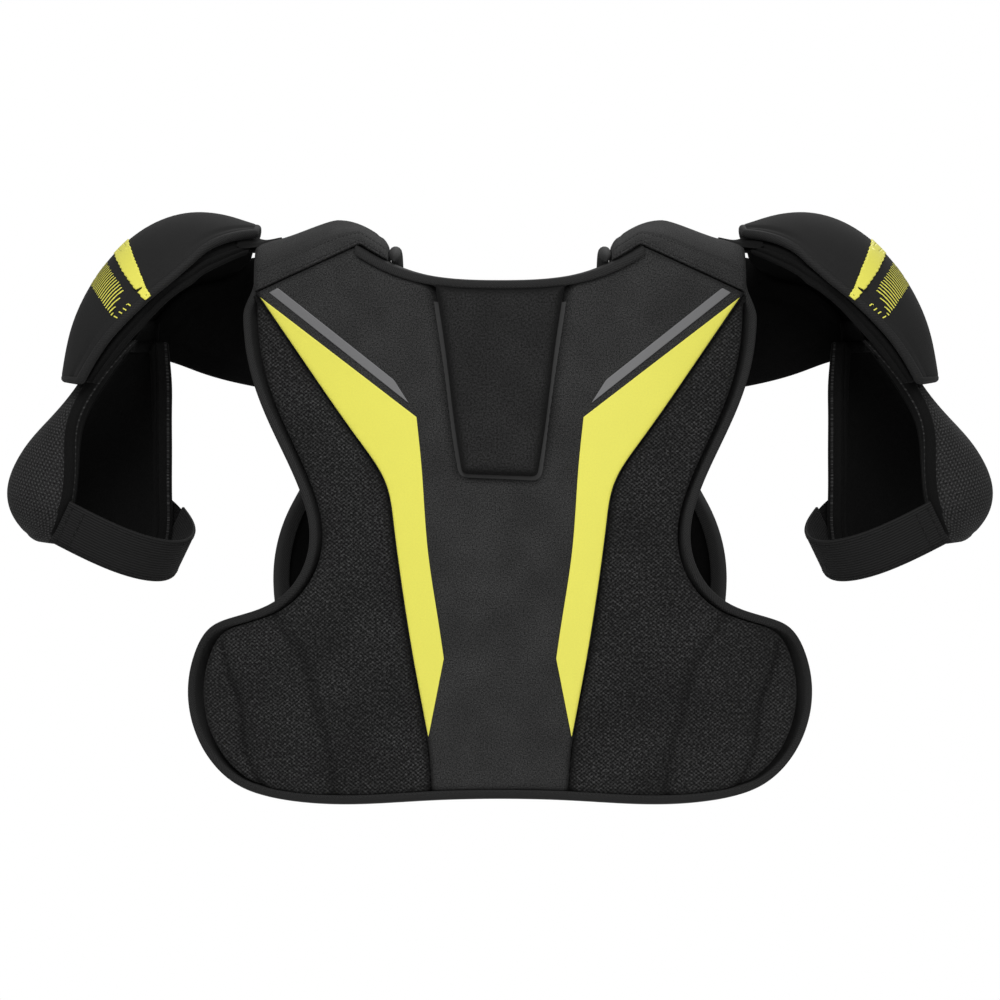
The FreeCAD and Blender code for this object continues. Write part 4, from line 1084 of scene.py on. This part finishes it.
def cap_surface(rows, depth, shares, drape=0.0):
    """Points of the cap's arch at a depth below its face; near the root the front edge reaches further by drape."""
    point, normal, edge = rows
    a = edge[:, None] * shares[None, :]
    share = np.linspace(0, 1, len(edge))[:, None]
    a = a + drape * np.exp(-((share - 0.17) / 0.15) ** 2) * np.clip(shares[None, :], 0, 1) ** 2
    radius = CAP_ARCH - depth
    centre = point - normal * CAP_ARCH
    out = np.zeros(a.shape + (3,))
    out[..., 0] = centre[:, None, 0] + normal[:, None, 0] * radius * np.cos(a)
    out[..., 2] = centre[:, None, 1] + normal[:, None, 1] * radius * np.cos(a)
    out[..., 1] = radius * np.sin(a)
    return out


def cap_relief(u, v, total_u, total_v):
    """Moulded form of the cap's face: a raised brow with a soft channel inside the rear and front rims."""
    edge = np.minimum(v, total_v - v)
    return dent(edge - 11.0, 3.0, 1.2) + 0.35 * waves(u, v, 70.0, 6.0)


def cap_face(flat, lift):
    """Points of the cap's rear face that a flat (x, z) outline falls on, raised a little."""
    d = np.linalg.norm(flat[:, None, :] - CAP_CURVE[None], axis=2)
    i = d.argmin(axis=1)
    into = np.maximum(0.0, ((CAP_CURVE[i] - flat) * CAP_NORMAL[i]).sum(1))
    a = -np.arccos(np.clip(1 - into / CAP_ARCH, -1, 1))
    radius = CAP_ARCH + lift
    centre = CAP_CURVE[i] - CAP_NORMAL[i] * CAP_ARCH
    out = np.zeros((len(flat), 3))
    out[:, 0] = centre[:, 0] + CAP_NORMAL[i, 0] * radius * np.cos(a)
    out[:, 2] = centre[:, 1] + CAP_NORMAL[i, 1] * radius * np.cos(a)
    out[:, 1] = radius * np.sin(a)
    return out


def build_caps():
    rows = cap_rows(64)
    shares = 2 * graded(81, 0.75) - 1
    cover, _, _ = pillow("cap_cover_padding_right", cap_surface(rows, -0.6, shares),
                         cap_surface(rows, 6.0, shares), (5.0, 4.0), (5.5, 5.5), cap_relief, 0.05)
    mirror_pair(cover, "SIDE_cap", "smooth_shell_fabric", ["cap_cover"], "cap_fabric")
    # rolled tape along the cover's edge, all round
    centre = cap_surface(rows, 3.0, shares)
    mid = np.concatenate([centre[:, 0], centre[-1, 1:], centre[-2::-1, -1], centre[0, -2:0:-1]])
    mid = even(mid, 2.4)
    core = mid.mean(axis=0)
    out = cap_out(mid)
    t = frames(mid, True)
    across = unit(np.cross(out, t))
    across = across * np.sign(((core - mid) * across).sum(1))[:, None]
    half = [(2.6, 3.4), (1.2, 3.7), (-0.4, 3.4), (-1.6, 2.3), (-2.2, 0.8)]
    profile = half + [(a, -b) for a, b in reversed(half)]
    tape = ribbon("cap_edge_piping_right", mid, across, out, profile)
    mirror_pair(tape, "SIDE_cap", "edge_tape", ["cap_edge_tape"])

    # under-layer with two rolled ridges along its rim
    rows = cap_rows(60, 1)
    shares = 2 * graded(121, 0.9) - 1

    def ridges(u, v, total_u, total_v):
        edge = np.minimum(v, total_v - v)
        return dent(edge - 5.2, 1.3, 2.0) - dent(edge - 9.0, 2.6, 0.8) + dent(edge - 13.0, 1.6, 1.2)
    under, _, _ = pillow("cap_under_padding_right", cap_surface(rows, 8.4, shares, UNDER_DRAPE),
                         cap_surface(rows, 12.6, shares, UNDER_DRAPE), (2.0, 2.0), (3.0, 3.0), ridges, 0.3)
    mirror_pair(under, "SIDE_cap", "liner_fabric", ["cap_under_layer"], "under_fabric")

    # printed bar and hatch on the rear face
    flat, faces = film_region(even(CAP_BAR, 1.0))
    film = closed_layer("cap_film_yellow_right", flat, faces, cap_face(flat, 1.35), cap_face(flat, 0.2))
    mirror_pair(film, "SIDE_cap", "yellow_film", [])
    shares = np.linspace(0, 1, HATCH_LINES) ** 1.8
    lines = []
    for share, gap in zip(shares, HATCH_LENGTH * np.gradient(shares)):
        a, b = (mix(np.array(side[0]), np.array(side[1]), share) for side in (HATCH_OUTER, HATCH_INNER))
        last = np.clip((1.0 - share) / 0.22, 0.12, 1.0)
        lines.append((a, mix(a, b, last), gap * 0.21))
    lines += [(np.array(p), np.array(q), 0.45) for p, q in HATCH_DASHES]
    flat_parts, face_parts, count, n = [], [], 0, 12
    for a, b, half in lines:
        span = np.linalg.norm(b - a)
        along = (b - a) / span
        wide = np.array([-along[1], along[0]])
        t = np.linspace(0, 1, n)[:, None]
        run = a + (b - a) * t + (0.0, 1.0) * (0.07 * span * np.sin(math.pi * t))
        flat_parts.append(np.vstack([run + wide * half, run - wide * half]))
        face_parts += [(count + i, count + i + 1, count + n + i + 1, count + n + i) for i in range(n - 1)]
        count += 2 * n
    flat = np.vstack(flat_parts)
    hatch = make("cap_film_hatch_right", cap_face(flat, 1.0), face_parts)
    mirror_pair(hatch, "SIDE_cap", "yellow_film", [])


def cap_out(points):
    """Outward direction of the cap's arch at points near it."""
    flat = points[:, [0, 2]]
    d = np.linalg.norm(flat[:, None, :] - (CAP_CURVE - CAP_NORMAL * CAP_ARCH * 0.5)[None], axis=2)
    i = d.argmin(axis=1)
    centre = CAP_CURVE[i] - CAP_NORMAL[i] * CAP_ARCH
    away = np.stack([points[:, 0] - centre[:, 0], points[:, 1], points[:, 2] - centre[:, 1]], axis=1)
    return unit(away)


# ---------------------------------------------------------------- bicep guards
def guard_rows(count):
    """Rows evened out between the solids' rows: z, centre x, half x, half y, rear and front angles, drop."""
    keys = []
    for z, outer_x, rear_x, front_deg, half_y, drop in GUARD_ROWS:
        half_x = (outer_x - GUARD_FRONT_X) / (1 - math.cos(math.radians(150.0)))
        centre_x = outer_x - half_x
        rear = -math.acos(max(-1.0, min(1.0, (rear_x - centre_x) / half_x)))
        keys.append((z, centre_x, half_x, half_y, rear, math.radians(front_deg), drop))
    line = smooth(keys, 1.0)
    at = graded(count, 0.7) * (len(line) - 1)
    return np.stack([np.interp(at, np.arange(len(line)), line[:, k]) for k in range(7)], axis=1)


def guard_surface(rows, depth, shares, inset=0.0):
    z, centre_x, half_x, half_y, rear, front, drop = (rows[:, k:k + 1] for k in range(7))
    a = mix(rear + inset / half_y, front - inset / half_y, shares[None, :])
    x = centre_x + (half_x - depth) * np.cos(a)
    outer_x = centre_x + half_x
    z = z - drop * (outer_x - x) / (outer_x - GUARD_FRONT_X)
    return np.stack([x, GUARD_Y + (half_y - depth) * np.sin(a), z], axis=2)


def build_guards():
    rows, shares = guard_rows(60), graded(101, 0.6)

    def relief(u, v, total_u, total_v):
        edge = np.minimum(np.minimum(u, total_u - u), np.minimum(v, total_v - v))
        return dent(edge - 10.0, 2.2, 0.8) + 0.6 * waves(u, v, 70.0, 8.0)
    pad, _, _ = pillow("bicep_padding_right", guard_surface(rows, -0.8, shares), guard_surface(rows, 8.0, shares),
                       (9.0, 9.0), (9.0, 9.0), relief, 0.2)
    mirror_pair(pad, "SIDE_bicep_guard", "woven_shell_fabric", ["bicep_pad"], "spacer_mesh")
    liner, _, _ = pillow("bicep_liner_padding_right", guard_surface(rows, 10.4, shares),
                         guard_surface(rows, 13.8, shares), (4.0, 4.0), (4.0, 4.0), None, 0.3)
    mirror_pair(liner, "SIDE_bicep_guard", "liner_fabric", ["bicep_liner"])
    # edge tape folded over the whole rim
    centre = guard_surface(rows, 6.6, shares)
    face = guard_surface(rows, 0.0, shares)
    loop = lambda g: np.concatenate([g[:, 0], g[-1, 1:], g[-2::-1, -1], g[0, -2:0:-1]])
    mid, out = loop(centre), unit(loop(face) - loop(centre))
    packed = even(np.hstack([mid, out]), 2.6)
    mid, out = packed[:, :3], unit(packed[:, 3:])
    t = frames(mid, True)
    for _ in range(4):
        t = unit(np.roll(t, 1, axis=0) + t + np.roll(t, -1, axis=0))
    across = unit(np.cross(out, t))
    middle_row = centre[len(rows) // 2]
    if ((middle_row[8] - middle_row[0]) * across[nearest(mid, middle_row[0])]).sum() < 0:
        across = -across
    tape = ribbon("bicep_edge_binding_right", mid, across, out, tape_profile(8.0, 7.4))
    rear_edge = centre[4:-4, 0]
    # painted shade: away from the rear edge the tape takes the darker under_fabric, standing in for shade on its front,
    # top and bottom
    for piece in mirror_pair(tape, "SIDE_bicep_guard", "edge_tape", ["bicep_edge_tape"]):
        piece.data.materials.append(MATERIALS["under_fabric"])
        for face in piece.data.polygons:
            at = np.array(face.center) * MM * (math.copysign(1.0, face.center[0]), 1, 1)
            if np.linalg.norm(rear_edge - at, axis=1).min() > 11.0:
                face.material_index = 1


# ---------------------------------------------------------------- straps
def strap_frame():
    axis = np.array((-STRAP_SLOPE[0], -STRAP_SLOPE[1], 1.0))
    axis /= np.linalg.norm(axis)
    v = np.cross((0, 0, 1.0), axis)
    skew = np.array([[0, -v[2], v[1]], [v[2], 0, -v[0]], [-v[1], v[0], 0]])
    return np.eye(3) + skew + skew @ skew / (1 + axis[2]), axis


def band(name, path, width, thick, axis):
    """A flat strap along a path, standing on edge along an axis, with rounded edges."""
    out = unit(np.cross(frames(path), axis))
    half, h = width / 2, thick / 2
    face = [(-half + 0.2, h * 0.7), (-half + 0.8, h), (-half * 0.5, h), (0, h), (half * 0.5, h), (half - 0.8, h),
            (half - 0.2, h * 0.7)]
    profile = [(-half, 0)] + face + [(half, 0)] + [(a, -b) for a, b in reversed(face)]
    return ribbon(name, path, axis * np.ones_like(path), out, profile, False), path, out


def build_bicep_straps():
    turn, axis = strap_frame()
    flat = smooth(STRAP_PATH, 2.0)
    path = np.hstack([flat, np.zeros((len(flat), 1))]) @ turn.T + STRAP_HINGE
    strap, centre, out = band("bicep_strap_band_right", path, 37.0, 2.4, axis)
    mirror_pair(strap, "SIDE_bicep_strap", "elastic_webbing", ["bicep_strap"])
    for k, (side, offset) in enumerate(((1, -15.5), (1, 15.5), (-1, -15.5), (-1, 15.5))):
        row = centre + axis * offset + out * side * 1.25
        mirror_pair(stitches("bicep_strap_stitches_%d_right" % k, row, out * side, 3.6, 2.4), "SIDE_bicep_strap",
                    "elastic_webbing", [])
    for k, start in enumerate((2, 7)):
        for side, label in ((1, "out"), (-1, "in")):
            across = centre[start] + axis * np.linspace(-16, 16, 20)[:, None] + out[start] * side * 1.25
            tack = stitches("bicep_strap_bartack_%d_%s_right" % (k, label), across,
                            np.tile(out[start] * side, (20, 1)), 1.7, 1.5, 1.4)
            mirror_pair(tack, "SIDE_bicep_strap", "elastic_webbing", [])
    flat = smooth(STRAP_TAB_PATH, 1.6)
    path = np.hstack([flat, np.zeros((len(flat), 1))]) @ turn.T + STRAP_HINGE
    tab, _, _ = band("bicep_strap_hook_right", path, 31.0, 1.8, axis)
    mirror_pair(tab, "SIDE_bicep_strap", "hook_and_loop", ["bicep_strap_tab"])


def build_torso_straps():
    lo, hi = (np.array(c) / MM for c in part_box("torso_strap_tab_right"))
    sewn = np.array((139.0, 72.752))
    end = (hi[0], BACK_AXIS_Y - math.sqrt(308.9 ** 2 - hi[0] ** 2))
    flat = smooth([sewn, (170.0, 78.2), (198.0, 41.45), (218.0, 16.45), (end[0] + 6, end[1] + 12),
                   (end[0] + 1.2, end[1] + 2.5)], 2.2)
    path = np.hstack([flat, np.full((len(flat), 1), -322.0)])
    axis = np.array((0, 0, 1.0))
    strap, centre, out = band("torso_strap_band_right", path, 38.0, 2.2, axis)
    mirror_pair(strap, "SIDE_torso_strap", "elastic_webbing", ["torso_strap"])
    for k, offset in enumerate((-16.0, 16.0)):
        row = centre[7:] + axis * offset + out[7:] * 1.2
        mirror_pair(stitches("torso_strap_stitches_%d_right" % k, row, out[7:], 3.6, 2.4), "SIDE_torso_strap",
                    "elastic_webbing", [])
    xs = np.linspace(hi[0], lo[0], 16)
    path = np.stack([xs, BACK_AXIS_Y - np.sqrt(308.9 ** 2 - xs ** 2), np.full(16, -322.0)], axis=1)
    tab, _, _ = band("torso_strap_hook_right", path, 34.0, 1.9, axis)
    mirror_pair(tab, "SIDE_torso_strap", "hook_and_loop", ["torso_strap_tab"])


# ---------------------------------------------------------------- front-shoulder pads and gussets
def build_clavicle():
    top = YOKE_FRONT_Z - 0.3
    corner = (CLAVICLE_HEM[-1][0], top)
    outline = join([corner, (YOKE_OUT + 0.3, top), CLAVICLE_TOP[0]], smooth(CLAVICLE_TOP),
                   [CLAVICLE_TOP[-1], CLAVICLE_HEM[0]], smooth(CLAVICLE_HEM), [CLAVICLE_HEM[-1], corner])[:-1]
    loop = relax(clockwise(even(outline, 2.0)), 3)
    flat, faces = triangulate(loop, step=3.4, rings=(0.5, 1.2, 2.3, 4.0, 6.5))
    d = distance(flat, loop, True)
    hem = dent(d - 8.5, 1.2, 1.0) + dent(d - 15.0, 1.6, 1.0)
    h = roll(d, 4.0, 2.6) + 0.5 * waves(flat[:, 0], flat[:, 1], 50.0, 7.0)
    rear = np.stack([flat[:, 0], 51.0 - h - hem, flat[:, 1]], axis=1)
    fore = np.stack([flat[:, 0], 57.0 + h + hem, flat[:, 1]], axis=1)
    pad = closed_layer("front_shoulder_padding_right", flat, faces, rear, fore)
    mirror_pair(pad, "back", "liner_fabric", ["clavicle_pad"], "under_fabric")


def finish_web(piece, material, slot, *replaces):
    """Material and CAD nodes of a piece that crosses a joint, which rides on no one body; slot is not used."""
    piece.data.materials.append(MATERIALS[material])
    if replaces:
        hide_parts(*replaces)


def build_webs(side, sign):
    """Fabric that bridges the hinges on one side: yoke to cap, cap to bicep guard and yoke to front panel."""
    # under the shoulder, from the yoke's end to under the cap
    y = np.linspace(-27, 27, 25)
    xs = np.linspace(168.0, 214.0, 24)
    z = 9.0 - 0.018 * (xs - CAP_HINGE_X) ** 2 * np.where(xs < CAP_HINGE_X, 0.4, 0.25)
    grid = np.stack(np.meshgrid(xs, y, indexing="ij"), axis=-1)
    drop = 0.006 * grid[..., 1] ** 2
    top = np.stack([grid[..., 0] * sign, grid[..., 1], z[:, None] - drop - 1.0 + 0 * grid[..., 0]], axis=2)
    low = top - (0, 0, 2.0)
    web, _, _ = pillow("shoulder_gusset_" + side, top, low, (1.5, 1.5), (1.5, 1.5))
    finish_web(web, "liner_fabric", "liner_fabric", "cap_hinge_web_" + side)
    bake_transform(web)
    # the flap that lies on the yoke's outer corner and runs in under the cap's root
    xs = mix(166.5, 200.0, graded(24))
    shares = np.linspace(-1, 1, 31)
    half = FLAP_HALF * np.sqrt(np.clip((xs - 166.0) / 28.0, 0, 1))
    ys = half[:, None] * shares
    arch = [yoke_arch(min(x, YOKE_OUT), 0.0, math.pi * np.linspace(0.02, 0.98, 80)) for x in xs]
    on_yoke = np.array([np.interp(y, a[:, 1], a[:, 2]) for y, a in zip(ys, arch)]) + 1.4
    line = np.interp(xs, CAP_CURVE[:, 0], CAP_CURVE[:, 1])[:, None]
    in_cap = line - CAP_ARCH + np.sqrt((CAP_ARCH - 7.6) ** 2 - ys ** 2)
    t = np.clip((xs - 176.0) / 16.0, 0, 1)[:, None]
    z = mix(on_yoke, in_cap, t * t * (3 - 2 * t))
    top = np.stack([np.broadcast_to(xs[:, None] * sign, z.shape), ys, z], axis=2)
    flap, _, _ = pillow("shoulder_flap_" + side, top, top - (0, 0, 2.5), (1.2, 1.2), (1.2, 1.2))
    finish_web(flap, "under_fabric", "liner_fabric")
    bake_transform(flap)
    # the sleeve from the guard's top up into the under-layer
    rows, shares = guard_rows(60)[:8], graded(61, 0.6)
    first, step = rows[0], (rows[7] - rows[0]) / (rows[7, 0] - rows[0, 0])
    zs = np.linspace(-50.0, -80.0, 14)
    rows = np.array([first + step * (z - first[0]) for z in zs])
    rows[:, 4:] = first[4:]
    web, _, _ = pillow("bicep_sleeve_" + side, guard_surface(rows, 8.6, shares, 6.0) * (sign, 1, 1),
                       guard_surface(rows, 10.0, shares, 6.0) * (sign, 1, 1), (1.0, 1.0), (1.0, 1.0))
    finish_web(web, "under_fabric", "liner_fabric")
    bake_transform(web)
    # between the cap's under-layer and the guard's liner
    ys = np.linspace(-24, 24, 21)
    zs = np.linspace(-84.0, -114.0, 18)
    grid = np.stack(np.meshgrid(zs, ys, indexing="ij"), axis=-1)
    x = 322.6 - 0.0065 * grid[..., 1] ** 2 + 0.16 * (grid[..., 0] + 98) * -1
    outer = np.stack([(x - 0.0) * sign, grid[..., 1], grid[..., 0]], axis=2)
    inner = outer - np.array((2.0 * sign, 0, 0))
    web, _, _ = pillow("bicep_gusset_" + side, outer, inner, (1.2, 1.2), (1.2, 1.2))
    finish_web(web, "liner_fabric", "liner_fabric", "bicep_web_" + side)
    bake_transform(web)
    # from the yoke's front end down to the front panel
    xs = np.linspace(90.0, 160.0, 30)
    s = np.linspace(0, 1, 20)
    rows = []
    for k in s:
        z = mix(-31.0, -62.0, k)
        radius = mix(396.0, 401.4, min(1.0, k * 1.4))
        yy = FRONT_AXIS_Y + np.sqrt(radius ** 2 - xs ** 2) - 1.2 * math.sin(math.pi * k)
        rows.append(np.stack([xs * sign, yy, np.full_like(xs, z)], axis=1))
    outer = np.array(rows)
    inner = outer - (0, 1.8, 0)
    web, _, _ = pillow("front_hinge_web_" + side, outer, inner, (1.5, 1.5), (1.5, 1.5))
    finish_web(web, "elastic_webbing", "elastic_webbing", "front_web_" + side)
    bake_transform(web)


build_back()
build_spine_pad()
build_stripes()
build_back_tape()
build_loop_patches()
build_front()
build_yokes()
build_caps()
build_guards()
build_bicep_straps()
build_torso_straps()
build_clavicle()
for side, sign in (("right", 1), ("left", -1)):
    build_webs(side, sign)

# the hard inserts stay as the solids have them
for name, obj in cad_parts.items():
    if name.startswith(("spine_plate", "sternum_plate", "cap_hard_shell", "bicep_plate")):
        obj.data.materials.clear()
        obj.data.materials.append(MATERIALS["hard_insert"])


# ---------------------------------------------------------------- camera, light and stage
def build_stage():
    camera = bpy.data.objects.new("camera", bpy.data.cameras.new("camera"))
    camera.data.sensor_width, camera.data.lens = 36.0, 240.0
    camera.location = (0.0, -5.1, -0.1875)
    camera.rotation_euler = (math.pi / 2, 0, 0)
    camera.data.clip_end = 60.0
    bpy.context.scene.collection.objects.link(camera)
    bpy.context.scene.camera = camera

    for name, place, size, power in (("key_light", (-0.45, -1.6, 1.5), 1.2, 31.0),
                                     ("fill_light", (1.8, -3.2, 1.0), 2.4, 34.0),
                                     ("rim_light", (0.6, 2.4, 2.2), 2.2, 40.0)):
        lamp = bpy.data.lights.new(name, "AREA")
        lamp.shape, lamp.size, lamp.energy = "DISK", size, power
        obj = bpy.data.objects.new(name, lamp)
        obj.location = place
        obj.rotation_euler = (Vector((0, 0, -0.15)) - Vector(place)).to_track_quat("-Z", "Y").to_euler()
        bpy.context.scene.collection.objects.link(obj)

    world = bpy.data.worlds.new("studio")
    bpy.context.scene.world = world
    world.use_nodes = True
    tree = world.node_tree
    light = tree.nodes["Background"]
    light.inputs["Color"].default_value = (1, 1, 1, 1)
    light.inputs["Strength"].default_value = 0.34
    seen = tree.nodes.new("ShaderNodeBackground")
    seen.inputs["Strength"].default_value = 1.0
    seen.inputs["Color"].default_value = (1, 1, 1, 1)
    path, blend = tree.nodes.new("ShaderNodeLightPath"), tree.nodes.new("ShaderNodeMixShader")
    tree.links.new(path.outputs["Is Camera Ray"], blend.inputs[0])
    tree.links.new(light.outputs[0], blend.inputs[1])
    tree.links.new(seen.outputs[0], blend.inputs[2])
    tree.links.new(blend.outputs[0], tree.nodes["World Output"].inputs["Surface"])

    half, z = 1.6, -0.74
    floor = bpy.data.meshes.new("floor")
    floor.from_pydata([(-half, -half, z), (half, -half, z), (half, half, z), (-half, half, z)], [], [(0, 1, 2, 3)])
    floor_obj = bpy.data.objects.new("floor", floor)
    bpy.context.scene.collection.objects.link(floor_obj)
    s = Shader("pale_floor", 0.9, 0.1, solid=True)
    s.colour(s.noise(180.0), (0.86, 0.86, 0.86), (0.88, 0.88, 0.88))
    floor.materials.append(MATERIALS["pale_floor"])
    bpy.context.scene.view_settings.view_transform = "Standard"


build_stage()
